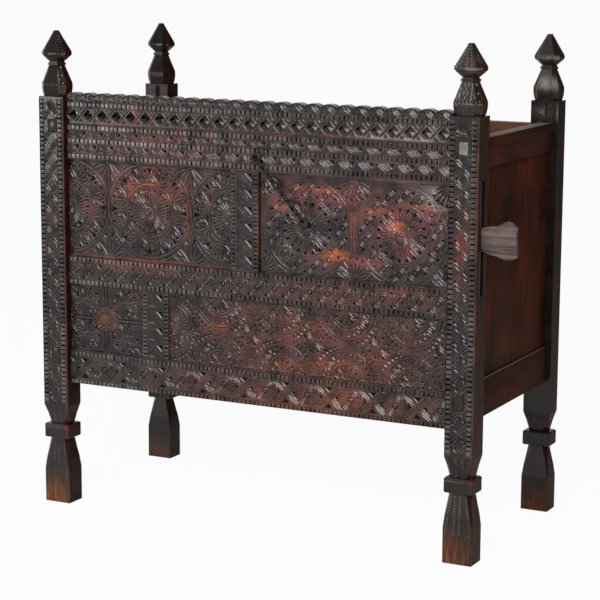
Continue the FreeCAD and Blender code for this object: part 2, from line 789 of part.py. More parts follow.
for number, spot in enumerate(board_rows):
    board("deck_board_" + spot, number, deck_top - board_thickness)
    board("floor_board_" + spot, number, floor_top - board_thickness)


# Iron staple on the top rail: bent wire with both legs driven into the wood

doc.recompute()


def reading(name):
    # The value that the sheet gives for a size, for shapes made of bent wire
    return float(sheet.get(name))


def wire_thing(label, shapes, where):
    thing = doc.addObject("Part::Feature", label)
    thing.Label = label
    thing.Shape = shapes[0] if len(shapes) == 1 else Part.Compound(shapes)
    thing.Placement = where
    chest_pieces.append(thing)
    return thing


def forged(path, closed, radius, normal):
    # Eight-sided wire with mitred bends; a closed one starts in the middle of its first side
    along = (path[1] - path[0]).normalize()
    side = along.cross(normal)
    start = (path[0] + path[1]) / 2 if closed else path[0]
    run = [start] + path[1:] + [path[0], start] if closed else path
    turns = [math.pi * (2 * number + 1) / 8 for number in range(8)]
    reach = radius / math.cos(math.pi / 8)
    section = [start + side * (reach * math.cos(turn)) + normal * (reach * math.sin(turn)) for turn in turns]
    section = Part.makePolygon(section + [section[0]])
    return Part.makePolygon(run).makePipeShell([section], True, False, 1)


def arc_of(centre, along, out, radius, first, last, steps):
    # Points on an arc, its angles counted from along towards out
    turns = [math.radians(first + (last - first) * number / steps) for number in range(steps + 1)]
    return [centre + along * (radius * math.cos(turn)) + out * (radius * math.sin(turn)) for turn in turns]


# In this frame X lies along the chain, from the nail to the staple, and Y to the back

across = reading("staple_across") - reading("nail_across")
staple_up = (reading("chest_height") - reading("finial_height") - reading("top_rail_drop")
             - reading("top_rail_depth") + reading("staple_rise"))
up = staple_up - reading("nail_up")
chain_reach = math.hypot(across, up)
chain_turn = FreeCAD.Rotation(Y_AXIS, -math.degrees(math.atan2(up, across)))
nail_point = FreeCAD.Vector(nail_x.number, front_face.number, reading("nail_up"))
chain_place = FreeCAD.Placement(nail_point, chain_turn)

span = reading("staple_span") / 2
wire = reading("staple_wire")
gap = reading("fit_gap")
crown = reading("chain_depth") + reading("ring_thickness") / 2 + gap + wire
legs = reading("rail_recess") + reading("staple_leg")
bend = wire * 1.5
bend_steps = 3
staple_path = [FreeCAD.Vector(chain_reach, legs, -span)]
staple_path += arc_of(FreeCAD.Vector(chain_reach, crown + bend, bend - span), -Z_AXIS, -Y_AXIS, bend, 0, 90,
                      bend_steps)
staple_path += arc_of(FreeCAD.Vector(chain_reach, crown + bend, span - bend), -Y_AXIS, Z_AXIS, bend, 0, 90,
                      bend_steps)
staple_path += [FreeCAD.Vector(chain_reach, legs, span)]
staple = forged(staple_path, False, wire, X_AXIS)
wire_thing("rail_staple", [staple], chain_place)
for side in (-1, 1):
    spot = chain_place.multVec(FreeCAD.Vector(chain_reach, 0, side * span))
    bore(front_top_rail, staple_wire + fit_gap, staple_leg, spot.x - inner_left.number,
         as_size(0), spot.z - top_rail_low.number)


# Chain: an eye on the nail, nine links that lie edge on and flat in turn, and a flat end ring

link = reading("link_wire")
half_width = reading("link_width") / 2
depth = reading("chain_depth")
eye = reading("eye_radius")
eye_inner = eye - reading("eye_wire")
eye_middle = eye_inner - reading("nail_radius") - gap
first_end = eye_middle + eye_inner - gap - 2 * link
last_end = chain_reach - reading("ring_inner") - gap + 2 * link
play = 2 * (2 * link) + gap
link_length = (last_end - first_end + play * (chain_links - 1)) / chain_links


link_steps = 6
ring_sides = 16


def chain_link(number):
    start = first_end + (link_length - play) * number
    bow = half_width - link
    near = FreeCAD.Vector(start + half_width, depth, 0)
    far = FreeCAD.Vector(start + link_length - half_width, depth, 0)
    out, normal = (Z_AXIS, Y_AXIS) if number % 2 else (Y_AXIS, Z_AXIS)
    far_bow = arc_of(far, X_AXIS, out, bow, 90, -90, link_steps)
    near_bow = arc_of(near, X_AXIS, out, bow, -90, -270, link_steps)
    return forged([near_bow[-1]] + far_bow + near_bow[:-1], True, link, normal)


half_side = 180 / ring_sides
eye_path = arc_of(FreeCAD.Vector(eye_middle, depth, 0), X_AXIS, Z_AXIS, eye, half_side, 360 - half_side,
                  ring_sides - 1)
eye_ring = forged(eye_path, True, reading("eye_wire"), Y_AXIS)
thick = reading("ring_thickness")
ring_base = FreeCAD.Vector(chain_reach, depth - thick / 2, 0)
end_ring = []
for radius in (reading("ring_outer"), reading("ring_inner")):
    rim = arc_of(ring_base, X_AXIS, Z_AXIS, radius, half_side, 360 + half_side, ring_sides)
    end_ring.append(Part.Face(Part.makePolygon(rim)).extrude(Y_AXIS * thick))
end_ring = end_ring[0].cut(end_ring[1])
wire_thing("lock_chain", [eye_ring] + [chain_link(number) for number in range(chain_links)] + [end_ring],
           chain_place)

doc.recompute()

# Every feature has to be sound before the pieces are written out

for thing in doc.Objects:
    if "Invalid" in thing.State or "Error" in thing.State:
        raise RuntimeError(thing.Label + " did not come out: " + str(thing.State))
for piece in chest_pieces:
    if piece.Shape.isNull() or not piece.Shape.isValid():
        raise RuntimeError(piece.Label + " has no sound shape")

os.makedirs("parts", exist_ok=True)
for piece in chest_pieces:
    piece.Shape.exportStep("parts/" + piece.Label + ".step")
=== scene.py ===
import json
import math
import bpy
import bmesh
import numpy as np
from mathutils import Matrix, Vector

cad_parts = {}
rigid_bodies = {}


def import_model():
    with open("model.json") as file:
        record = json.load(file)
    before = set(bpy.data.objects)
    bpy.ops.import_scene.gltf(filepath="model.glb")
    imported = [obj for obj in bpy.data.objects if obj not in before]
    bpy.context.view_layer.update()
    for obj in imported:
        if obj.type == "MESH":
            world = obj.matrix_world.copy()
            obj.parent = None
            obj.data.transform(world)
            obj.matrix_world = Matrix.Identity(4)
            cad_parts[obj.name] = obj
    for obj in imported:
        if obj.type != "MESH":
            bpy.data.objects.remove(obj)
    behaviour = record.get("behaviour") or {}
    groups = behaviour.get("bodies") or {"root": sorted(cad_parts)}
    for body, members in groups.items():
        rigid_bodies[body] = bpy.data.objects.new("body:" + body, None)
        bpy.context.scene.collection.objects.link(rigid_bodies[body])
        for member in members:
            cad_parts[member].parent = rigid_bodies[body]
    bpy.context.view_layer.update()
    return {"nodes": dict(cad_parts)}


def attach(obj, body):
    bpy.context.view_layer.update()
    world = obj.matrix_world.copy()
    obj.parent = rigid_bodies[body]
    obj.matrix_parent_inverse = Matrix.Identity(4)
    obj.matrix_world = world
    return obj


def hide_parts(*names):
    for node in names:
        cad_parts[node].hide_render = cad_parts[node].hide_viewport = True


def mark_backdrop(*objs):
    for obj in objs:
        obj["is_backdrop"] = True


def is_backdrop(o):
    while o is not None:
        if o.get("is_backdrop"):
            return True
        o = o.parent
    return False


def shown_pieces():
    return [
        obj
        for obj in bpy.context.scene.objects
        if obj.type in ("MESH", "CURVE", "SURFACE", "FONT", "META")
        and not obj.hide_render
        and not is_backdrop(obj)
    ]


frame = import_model()

# Camera: it stands to the right of the chest and a little above it, with a long lens,
# so that the whole front and a narrow strip of the right side show.


def new_object(name, data):
    made = bpy.data.objects.new(name, data)
    bpy.context.scene.collection.objects.link(made)
    return made


camera_place = Vector((2.0957, -4.1799, 1.3657))
azimuth = math.radians(27.09)
elevation = math.radians(10.35)
roll = math.radians(0.30)
towards_camera = Vector((math.sin(azimuth) * math.cos(elevation), -math.cos(azimuth) * math.cos(elevation),
                         math.sin(elevation)))
level_right = Vector((math.cos(azimuth), math.sin(azimuth), 0))
level_up = towards_camera.cross(level_right)
camera_right = level_right * math.cos(roll) + level_up * math.sin(roll)
camera_up = towards_camera.cross(camera_right)
camera_turn = Matrix((camera_right, camera_up, towards_camera)).transposed()
camera = new_object("camera", bpy.data.cameras.new("camera"))
camera.data.lens = 118.609
camera.data.sensor_width = 36
camera.data.clip_end = 100
camera.matrix_world = Matrix.Translation(camera_place) @ camera_turn.to_4x4()
bpy.context.scene.camera = camera
bpy.context.scene.view_settings.view_transform = "Standard"

# Floor and light of a plain studio: a pale floor and a white backdrop that run into each other,
# a dim room in front, and four soft lamps: two high ones, a long one in front, and one low at the left.


def linear(colour):
    # A colour written as on a paint list, turned into the numbers that light works with
    parts = [int(colour[place:place + 2], 16) / 255 for place in (1, 3, 5)]
    return [part / 12.92 if part <= 0.04045 else ((part + 0.055) / 1.055) ** 2.4 for part in parts] + [1]


def node(tree, kind, wanted=(), **settings):
    # One shader node: settings are its own properties, wanted its sockets' values or links, by name or
    # number, or else in order. Another node stands for its result
    made = tree.nodes.new("ShaderNode" + kind)
    for name, value in settings.items():
        setattr(made, name, value)
    for socket, value in wanted.items() if isinstance(wanted, dict) else enumerate(wanted):
        if isinstance(value, bpy.types.Node):
            value = value.outputs[2 if value.type in ("MIX", "ATTRIBUTE") else 0]
        if isinstance(value, bpy.types.NodeSocket):
            tree.links.new(value, made.inputs[socket])
        else:
            made.inputs[socket].default_value = value
    return made


def new_material(name):
    material = bpy.data.materials.new(name)
    material.use_nodes = True
    material.node_tree.nodes.clear()
    return material, material.node_tree


def looked_at(tree, coordinate):
    # 1 for rays from the camera, and for those that shiny or clear things send on to the left side,
    # where the white of the studio is; the right side is left dark. For the other rays 0
    path = node(tree, "LightPath").outputs
    sent = node(tree, "Math", (path["Is Glossy Ray"], path["Is Transmission Ray"]), operation="MAXIMUM")
    across = node(tree, "SeparateXYZ", (node(tree, "TexCoord").outputs[coordinate],))
    left_side = node(tree, "MapRange", (across, 0.15, -0.2))
    shown = node(tree, "Math", (sent, left_side), operation="MULTIPLY")
    return node(tree, "Math", (path["Is Camera Ray"], shown), operation="MAXIMUM")


floor_mesh = bpy.data.meshes.new("floor")
floor = new_object("floor", floor_mesh)
shape = bmesh.new()
bmesh.ops.create_grid(shape, x_segments=1, y_segments=1, size=40)
shape.to_mesh(floor_mesh)
shape.free()

# Studio floor paint: matt and pale. Seen directly it is lifted most of the way to white,
# so that it takes a soft shadow and still runs into the backdrop
floor_paint, tree = new_material("studio_floor_paint")
paint = node(tree, "BsdfDiffuse", {"Color": linear("#F2F2F0")})
lift = node(tree, "Emission", {"Color": linear("#FFFFFF"), "Strength": 1.0})
share = node(tree, "Math", (looked_at(tree, "Object"), 0.95), operation="MULTIPLY")
node(tree, "OutputMaterial", {"Surface": node(tree, "MixShader", (share, paint, lift))})
floor_mesh.materials.append(floor_paint)

world = bpy.data.worlds.new("studio")
bpy.context.scene.world = world
world.use_nodes = True
world.node_tree.nodes.clear()
tree = world.node_tree
sideways = node(tree, "SeparateXYZ", (node(tree, "TexCoord").outputs["Generated"],))
brightness = node(tree, "MapRange", (sideways, -0.2, 0.5, 0.3, 0.07))
room = node(tree, "Background", {"Color": linear("#FFFFFF"), "Strength": brightness})
backdrop = node(tree, "Background", {"Color": linear("#FFFFFF"), "Strength": 0.965})
shown = node(tree, "MixShader", (looked_at(tree, "Generated"), room, backdrop))
node(tree, "OutputWorld", {"Surface": shown})

lamps = []
for name, place, width, height, power in (("lamp_above_right", (1.95, -2.9, 3.95), 0.8, 0.8, 32),
                                          ("lamp_above_left", (0.1, -3.75, 3.45), 1.4, 0.6, 45),
                                          ("lamp_above_front", (0.85, -3.8, 2.36), 2.4, 0.75, 114),
                                          ("lamp_front_left", (-2.6, -3.1, 0.9), 0.8, 0.8, 16)):
    lamp = new_object(name, bpy.data.lights.new(name, "AREA"))
    lamp.data.shape = "RECTANGLE"
    lamp.data.size = width
    lamp.data.size_y = height
    lamp.data.energy = power
    lamp.location = place
    lamp.rotation_euler = (Vector((0, 0, 0.6)) - lamp.location).to_track_quat("-Z", "Y").to_euler()
    lamps.append(lamp)
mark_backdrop(floor, *lamps)

# Front posts: each is one heavy timber from foot to finial, hewn square, with a waist at the leg,
# a collar, and a faceted knob on top. The front is chip carved with a chisel, the rest is plain.

deep_cut = 2.9
edge_groove = (1, 2.2, 1.8)
diagonals = ((-1, -1), (-1, 1), (1, -1), (1, 1))


def polar(x0, z0, away, angle):
    # The point that lies so far from a middle, at an angle in degrees
    return x0 + away * math.cos(math.radians(angle)), z0 + away * math.sin(math.radians(angle))


class Carving:
    """The depth in millimetres of the cuts in one face, on a fine grid of points."""

    def __init__(self, left, right, low, high, spacing=0.8):
        self.left, self.right, self.low, self.high, self.spacing = left, right, low, high, spacing
        self.x = np.arange(left, right + spacing, spacing)
        self.z = np.arange(low, high + spacing, spacing)
        self.depth, self.wear, self.red, self.shine = np.zeros((4, len(self.z), len(self.x)))

    def part(self, x_low, x_high, z_low, z_high):
        columns = slice(*np.searchsorted(self.x, (x_low, x_high)))
        rows = slice(*np.searchsorted(self.z, (z_low, z_high)))
        x, z = np.meshgrid(self.x[columns], self.z[rows])
        return (rows, columns), x, z

    def part_near(self, x1, z1, x2, z2, reach):
        return self.part(min(x1, x2) - reach, max(x1, x2) + reach, min(z1, z2) - reach, max(z1, z2) + reach)

    def deepen(self, area, cut):
        self.depth[area] = np.maximum(self.depth[area], cut)

    def smooth(self, x0, z0, radius):
        # A round field that is left uncut
        area, x, z = self.part_near(x0, z0, x0, z0, radius + 1)
        self.depth[area] = np.where(np.hypot(x - x0, z - z0) < radius, 0, self.depth[area])

    def leaf(self, x1, z1, x2, z2, width, depth, bow=0.0):
        # A pointed cut, widest in its middle, that may run in a bow. Its lower left wall is the gentle
        # one, as the chisel is held by a right hand
        length = math.hypot(x2 - x1, z2 - z1)
        area, x, z = self.part_near(x1, z1, x2, z2, width / 2 + abs(bow) + 0.1)
        along = ((x - x1) * (x2 - x1) + (z - z1) * (z2 - z1)) / length ** 2
        aside = ((z - z1) * (x2 - x1) - (x - x1) * (z2 - z1)) / length
        inside = np.clip(along, 0, 1)
        half = width / 2 * np.sin(math.pi * inside) ** 0.6 + 1e-6
        aside = (aside - bow * 4 * inside * (1 - inside)) / half
        lean = 0.4 * ((z1 - z2) + (x2 - x1)) / length
        walls = np.minimum((1 + aside) / (1 + lean), (1 - aside) / (1 - lean))
        cut = depth * (half / (width / 2)) ** 0.5 * walls
        self.deepen(area, np.where((along > 0) & (along < 1), cut, 0))

    def lens(self, x1, z1, x2, z2, width, lines=2, depth=2.0):
        # Leaf cuts that part at one end and meet again at the other, like the veins of a leaf
        stroke = min(width / lines * 1.1, 4.7)
        for number in range(lines):
            self.leaf(x1, z1, x2, z2, stroke, depth, (number / (lines - 1) - 0.5) * (width - stroke))

    def groove(self, x1, z1, x2, z2, width, depth):
        length = math.hypot(x2 - x1, z2 - z1)
        area, x, z = self.part_near(x1, z1, x2, z2, width)
        along = np.clip(((x - x1) * (x2 - x1) + (z - z1) * (z2 - z1)) / length ** 2, 0, 1)
        away = np.hypot(x - x1 - along * (x2 - x1), z - z1 - along * (z2 - z1))
        self.deepen(area, depth * (1 - away / (width / 2)))

    def ring(self, x0, z0, radii, width, depth, first=0, last=360):
        # Round grooves about one middle, or the parts of them between two angles
        for radius in np.atleast_1d(radii):
            area, x, z = self.part_near(x0, z0, x0, z0, radius + width)
            away = np.abs(np.hypot(x - x0, z - z0) - radius)
            turn = (np.degrees(np.arctan2(z - z0, x - x0)) - first) % 360
            self.deepen(area, np.where(turn <= last - first, depth * (1 - away / (width / 2)), 0))

    def punch(self, x0, z0, radius, depth):
        area, x, z = self.part_near(x0, z0, x0, z0, radius)
        self.deepen(area, depth * (1 - ((x - x0) ** 2 + (z - z0) ** 2) / radius ** 2))

    def chip(self, corners, depth=deep_cut):
        # A three-sided pocket, deepest in its middle
        (xa, za), (xb, zb), (xc, zc) = corners
        turn = (xb - xa) * (zc - za) - (xc - xa) * (zb - za)
        area, x, z = self.part(min(xa, xb, xc), max(xa, xb, xc), min(za, zb, zc), max(za, zb, zc))
        nearest, around = np.inf, 0
        for (x1, z1), (x2, z2) in zip(corners, (*corners[1:], corners[0])):
            length = math.hypot(x2 - x1, z2 - z1)
            side = ((z - z1) * (x2 - x1) - (x - x1) * (z2 - z1)) / length * math.copysign(1, turn)
            nearest = np.minimum(nearest, side)
            around += length
        middle = abs(turn) / around
        self.deepen(area, depth * np.clip(nearest / (middle * 0.7), 0, 1))

    def wedge(self, x0, z0, tip, base, turn, width, depth=deep_cut):
        # A chip that points at a middle or straight away from it
        half = math.degrees(width / 2 / base)
        self.chip((polar(x0, z0, tip, turn), polar(x0, z0, base, turn - half),
                   polar(x0, z0, base, turn + half)), depth)

    def wedges(self, x0, z0, inner, outer, first, last, count, width, depth=deep_cut):
        # Chips between the tips of the leaves of a fan
        for number in range(count + (last - first < 360)):
            self.wedge(x0, z0, inner, outer, first + (last - first) * number / count, width, depth)

    def pocket(self, x_low, x_high, z_low, z_high, depth):
        area, x, _ = self.part(x_low, x_high, z_low, z_high)
        self.deepen(area, np.full(x.shape, depth))

    def teeth(self, x_low, x_high, z_low, z_high, pitch, gap=3.0, depth=deep_cut, upright=False, pale=1.0,
              beside=edge_groove):
        # A row of square teeth, a little rounded, with the gaps between them chopped out, and a groove
        # along each side: how far beside, how wide and how deep
        area, x, z = self.part(x_low, x_high, z_low, z_high)
        run, cross = (z, x) if upright else (x, z)
        start, end = (z_low, z_high) if upright else (x_low, x_high)
        near, far = (x_low, x_high) if upright else (z_low, z_high)
        step = (end - start) / round((end - start) / pitch)
        uneven = 0.5 * np.sin(run * 0.31) + 0.4 * np.sin(run * 0.083 + 1)
        place = ((run - start + uneven) / step) % 1
        away = np.minimum(place, 1 - place) * step
        level = (cross - near) / (far - near) * 2 - 1
        rounding = 0.5 * np.abs(2 * place - 1) ** 4 + 0.5 * np.abs(level) ** 6
        self.deepen(area, np.where(away < gap / 2, depth, rounding))
        # Painted highlight on the teeth: upright rows are painted pale low down, level ones towards the left
        # end of the chest
        wear_and_highlight = np.clip(2.2 - z / 450, 0.5, 1.6) if upright else np.clip(0.7 - x / 500, 0.15, 2)
        self.shine[area] = np.where(away < gap / 2, 0, pale * wear_and_highlight)
        if beside:
            for level in (near - beside[0], far + beside[0]):
                self.groove(*((level, start, level, end) if upright else (start, level, end, level)),
                            *beside[1:])

    def fan(self, x0, z0, inner, outer, first, last, count, width, lines=1, depth=2.6):
        # Leaves like the rays of the sun
        for number in range(count):
            turn = first + (last - first) * (number + 0.5) / count
            ends = *polar(x0, z0, inner, turn), *polar(x0, z0, outer, turn)
            if lines > 1:
                self.lens(*ends, width, lines, depth * 0.8)
            else:
                self.leaf(*ends, width, depth)

    def fade(self, x0, z0, x_reach, z_reach):
        # 1 in the middle of a patch and less and less away from it
        return np.exp(-(((self.x[None, :] - x0) / x_reach) ** 2 + ((self.z[:, None] - z0) / z_reach) ** 2))

    def rub(self, *patches):
        # Patches worn to the bare wood, and where the old red stain shows: place, reach, wear and red
        for *patch, wear, red in patches:
            fade = self.fade(*patch)
            self.wear = np.maximum(self.wear, wear * fade)
            self.red = np.maximum(self.red, red * fade)

    def paint_sheen(self, *patches):
        # Patches of painted sheen: the uncut wood is painted a pale grey where it would catch the light.
        # Place, reach and amount
        for *patch, amount in patches:
            uncut = np.clip(1 - self.depth / 0.6, 0, 1)
            self.shine = np.maximum(self.shine, amount * self.fade(*patch) * uncut)

    def fields(self, x, z):
        # Depth of cut, wear, red stain and rim at points of the face. The rim is how far a point stands
        # out over the cuts round it, as those edges are rubbed pale, raised by the painted highlight and
        # sheen of the shine field, or less than 0 where it is dull
        soft = self.depth
        for axis in (0, 1):
            soft = sum(np.roll(soft, shift, axis) for shift in range(-2, 3)) / 5
        wear_and_highlight = np.maximum(np.clip((soft - self.depth) / 0.7, 0, 1), self.shine * 0.8)
        rim = np.where(self.shine < 0, self.shine, wear_and_highlight)
        across = np.clip((x - self.left) / self.spacing, 0, len(self.x) - 1.001)
        up = np.clip((z - self.low) / self.spacing, 0, len(self.z) - 1.001)
        i, j = across.astype(int), up.astype(int)
        s, t = across - i, up - j
        return np.stack([field[j, i] * (1 - s) * (1 - t) + field[j, i + 1] * s * (1 - t)
                         + field[j + 1, i] * (1 - s) * t + field[j + 1, i + 1] * s * t
                         for field in (self.depth, self.wear, self.red, rim)])


def carved_wood(name, grain, dark, brown, red, worn):
    # Dark hardwood under old oil and smoke: nearly black on the lands, crimson stain in places, worn to
    # orange where it is rubbed, with a shine that breaks on the chisel facets. The cuts get painted shade,
    # darker and duller the deeper they go, and the rims over them are mixed towards a pale grey, partly
    # as edges rubbed pale and partly as painted highlight and sheen
    material, tree = new_material(name)
    place = node(tree, "TexCoord").outputs["Object"]
    along = {"X": (14, 240, 240), "Z": (240, 240, 14)}[grain]
    stretched = node(tree, "Mapping", {"Vector": place, "Scale": along})
    fibre = node(tree, "TexNoise", {"Vector": stretched, "Scale": 1.0, "Detail": 5.0, "Roughness": 0.6})
    blotch = node(tree, "TexNoise", {"Vector": place, "Scale": 24.0, "Detail": 5.0, "Roughness": 0.62})
    grit = node(tree, "TexNoise", {"Vector": place, "Scale": 420.0, "Detail": 3.0, "Roughness": 0.7})
    tone = node(tree, "MapRange", (blotch, 0.38, 0.66))
    base = node(tree, "Mix", {0: tone, 6: linear(dark), 7: linear(brown)}, data_type="RGBA")
    patchy = node(tree, "MapRange", (blotch, 0.4, 0.64, 0.0, 1.1))
    stain = node(tree, "Math", (node(tree, "Attribute", attribute_name="red"), patchy), operation="MULTIPLY",
                 use_clamp=True)
    crimson = node(tree, "Mix", {0: stain, 6: base, 7: linear(red)}, data_type="RGBA")
    streaky = node(tree, "MapRange", (fibre, 0.4, 0.62, 0.2, 1.1))
    wear = node(tree, "Math", (node(tree, "Attribute", attribute_name="wear"), streaky), operation="MULTIPLY",
                use_clamp=True)
    bare = node(tree, "Mix", {0: wear, 6: crimson, 7: linear(worn)}, data_type="RGBA")
    depth = node(tree, "Attribute", attribute_name="cut")
    # Painted shade: the deeper a point is cut, the darker its colour, down to an eighth in the deepest cuts
    value = node(tree, "MapRange", (depth, 0.6, 2.8, 1.0, 0.12))
    streak = node(tree, "MapRange", (fibre, 0.3, 0.75, 0.8, 1.2))
    both = node(tree, "Math", (value, streak), operation="MULTIPLY")
    shade = node(tree, "HueSaturation", {"Value": both, "Color": bare})
    # The rim is mixed towards a pale grey: partly edges rubbed pale, partly painted highlight and sheen
    rim = node(tree, "Attribute", attribute_name="rim")
    uneven = node(tree, "MapRange", (blotch, 0.38, 0.62, 0.08, 0.5))
    rim_wear_and_highlight = node(tree, "Math", (rim, uneven), operation="MULTIPLY")
    edged = node(tree, "Mix", {0: rim_wear_and_highlight, 6: shade, 7: linear("#746D69")}, data_type="RGBA")
    # Sides that were never carved have a rim of minus one: they are dry, with little shine
    carved = node(tree, "MapRange", (rim, -1.0, 0.0, 0.05, 0.35))
    # Painted shade as well: the deep cuts lose most of their shine, so that they look nearly black
    shaded_cut_shine = node(tree, "MapRange", (depth, 1.3, 2.9, 1.0, 0.1))
    clean = node(tree, "Math", (shaded_cut_shine, carved), operation="MULTIPLY")
    gloss = node(tree, "MapRange", (grit, 0.3, 0.7, 0.1, 0.28))
    rough = node(tree, "Math", (grit, fibre), operation="ADD")
    relief = node(tree, "Bump", {"Height": rough, "Strength": 0.22, "Distance": 0.0005})
    surface = node(tree, "BsdfPrincipled", {"Base Color": edged, "Roughness": gloss, "IOR": 1.48,
                                            "Specular IOR Level": clean, "Normal": relief})
    node(tree, "OutputMaterial", {"Surface": surface})
    return material


post_wood = carved_wood("carved_post_wood", "Z", "#171211", "#251B18", "#541C1A", "#74421F")
rail_wood = carved_wood("carved_rail_wood", "X", "#171211", "#251B18", "#561C1C", "#7C3C1C")


def finished(name, mesh, material, slot, *nodes):
    # Puts a mesh in the scene with its material, in the place of the CAD pieces named
    mesh.shade_smooth()
    mesh.set_sharp_from_angle(angle=math.radians(30))
    mesh.materials.append(material)
    piece = new_object(name, mesh)
    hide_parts(*nodes)
    return piece


def set_points(mesh, x, y, z, fields):
    # Places a mesh's points, given in millimetres, and keeps what the wood is like at each of them
    mesh.vertices.foreach_set("co", (np.stack((x, y, z), 1) / 1000).astype(np.float32).ravel())
    mesh.update()
    for name, values in zip(("cut", "wear", "red", "rim"), fields):
        mesh.attributes.new(name, "FLOAT", "POINT").data.foreach_set("value", values.astype(np.float32))


def grid_numbers(mesh, columns, rows):
    # Which column and row of the flat grid each of its points belongs to, and which lie behind it
    flat = np.empty(len(mesh.vertices) * 3, dtype=np.float32)
    mesh.vertices.foreach_get("co", flat)
    x, y, z = flat.reshape(-1, 3).T
    return np.rint((x + 0.5) * columns).astype(int), np.rint((y + 0.5) * rows).astype(int), z < -0.1


def cut_through(piece, cutter_shape):
    # Saws the shape given out of a piece
    cutter_mesh = bpy.data.meshes.new("cutter")
    bmesh.ops.recalc_face_normals(cutter_shape, faces=cutter_shape.faces)
    cutter_shape.to_mesh(cutter_mesh)
    cutter_shape.free()
    sawing = piece.modifiers.new("saw", "BOOLEAN")
    sawing.object = new_object("cutter", cutter_mesh)
    sawing.solver = "EXACT"
    bpy.context.view_layer.update()
    sawn = bpy.data.meshes.new_from_object(piece.evaluated_get(bpy.context.evaluated_depsgraph_get()))
    bpy.data.objects.remove(sawing.object)
    piece.modifiers.clear()
    piece.data = sawn


chest_left, chest_right, chest_front, chest_back = -607.0, 523.0, -268.0, 268.0
block_top, finial_height = 995.0, 155.0
chest_top = block_top + finial_height
pear_top = block_top + finial_height * 0.475
onion_foot = block_top + finial_height * 0.51
pear_shares = ((0, 0.86), (0.10, 0.94), (0.245, 0.99), (0.34, 1), (0.435, 0.985), (1, 0.51))
onion_shares = ((0, 0.50), (0.055, 0.50), (0.075, 0.57), (0.24, 0.95), (0.30, 0.975), (0.355, 0.955),
                (0.68, 0.55), (1, 0.16))


def post_stations(width, depth, waist):
    # Height, half width, half depth and corner cut of the timber, from the floor up
    levels = [(0, 0, 1.2), (83, 0, 1.2), (109.9, 0.27, 0.27), (135.1, 0.64, 0.64), (162, 1, 1),
              (162.01, 1.2, 2.4), (164.4, 0, 2.4), (193.6, 0, 2.4), (196, 2.4, 3.6), (196.01, 1, 1),
              (221.9, 0.53, 0.53), (244, 0, 1.2), (block_top, 0, 1.2)]
    stations = []
    for up, inset, corner in levels:
        if inset == corner:
            # In the waist both are given as shares of their full depth
            inset, corner = waist * inset, 1.2 + (10 - 1.2) * corner
        stations.append((up, width / 2 - inset, depth / 2 - inset, corner))
    knob = [(block_top + 0.01, pear_shares[0][1])]
    knob += [(block_top + (pear_top - block_top) * up, share) for up, share in pear_shares[1:]]
    knob += [(pear_top + 0.01, 0.58), (onion_foot, 0.58)]
    knob += [(onion_foot + 0.01 + (chest_top - onion_foot - 0.01) * up, share) for up, share in onion_shares]
    return stations + [(up, width / 2 * share, depth / 2 * share, (width + depth) / 4 * share * 0.45)
                       for up, share in knob]


def post(name, middle_x, middle_y, width, depth, waist, columns, step, carvings, wear_and_highlight):
    # columns: how many strips each of the eight sides has, from the front side round to the right.
    # carvings: side number to the carving on it, drawn from the middle of that side; the others are
    # plain, and rubbed that much
    stations = np.array(post_stations(width, depth, waist))
    rows = [stations[0]]
    for below, above in zip(stations, stations[1:]):
        steps = max(1, math.ceil((above[0] - below[0]) / step))
        rows += [below + (above - below) * share for share in np.linspace(0, 1, steps + 1)[1:]]
    up, half_x, half_y, corner = np.array(rows).T
    flat_x, flat_y = half_x - corner, half_y - corner
    corner_x = np.stack([-flat_x, flat_x, half_x, half_x, flat_x, -flat_x, -half_x, -half_x])
    corner_y = np.stack([-half_y, -half_y, -flat_y, flat_y, half_y, half_y, flat_y, -flat_y])
    side = np.append(np.repeat(np.arange(8), columns), 0)
    share = np.append(np.concatenate([np.arange(count) / count for count in columns]), 0.0)
    x = corner_x[side].T * (1 - share) + corner_x[(side + 1) % 8].T * share
    y = corner_y[side].T * (1 - share) + corner_y[(side + 1) % 8].T * share
    z = np.repeat(up[:, None], len(side), axis=1)
    fields = np.zeros((4,) + x.shape)
    plain_side = ~np.isin(side, list(carvings))
    # Plain sides: a made-up cut depth of 1.6 mm, so that the painted cut shade darkens them too, wear as
    # given, some red stain, and a rim of minus one that leaves them dull
    fields[:, :, plain_side] = np.array((1.6, wear_and_highlight, 0.5, -1))[:, None, None]
    for number, carving in carvings.items():
        own = side == number
        length = np.hypot(corner_x[(number + 1) % 8] - corner_x[number],
                          corner_y[(number + 1) % 8] - corner_y[number])
        turn = math.radians(45 * number)
        place = (share[own][None, :] - 0.5) * length[:, None]
        fields[:, :, own] = carving.fields(place, z[:, own])
        x[:, own] -= math.sin(turn) * fields[0][:, own]
        y[:, own] += math.cos(turn) * fields[0][:, own]
    mesh = bpy.data.meshes.new(name + "_timber")
    shape = bmesh.new()
    bmesh.ops.create_grid(shape, x_segments=len(side) - 1, y_segments=len(up) - 1, size=0.5)
    shape.to_mesh(mesh)
    column, row, _ = grid_numbers(mesh, len(side) - 1, len(up) - 1)
    set_points(mesh, x[row, column] + middle_x, y[row, column] + middle_y, z[row, column],
               fields[:, row, column])
    shape.clear()
    shape.from_mesh(mesh)
    bmesh.ops.remove_doubles(shape, verts=shape.verts, dist=2e-6)
    bmesh.ops.holes_fill(shape, edges=[edge for edge in shape.edges if edge.is_boundary], sides=0)
    bmesh.ops.recalc_face_normals(shape, faces=shape.faces)
    shape.to_mesh(mesh)
    shape.free()
    return finished(name + "_timber", mesh, post_wood, "carved_wood", name)


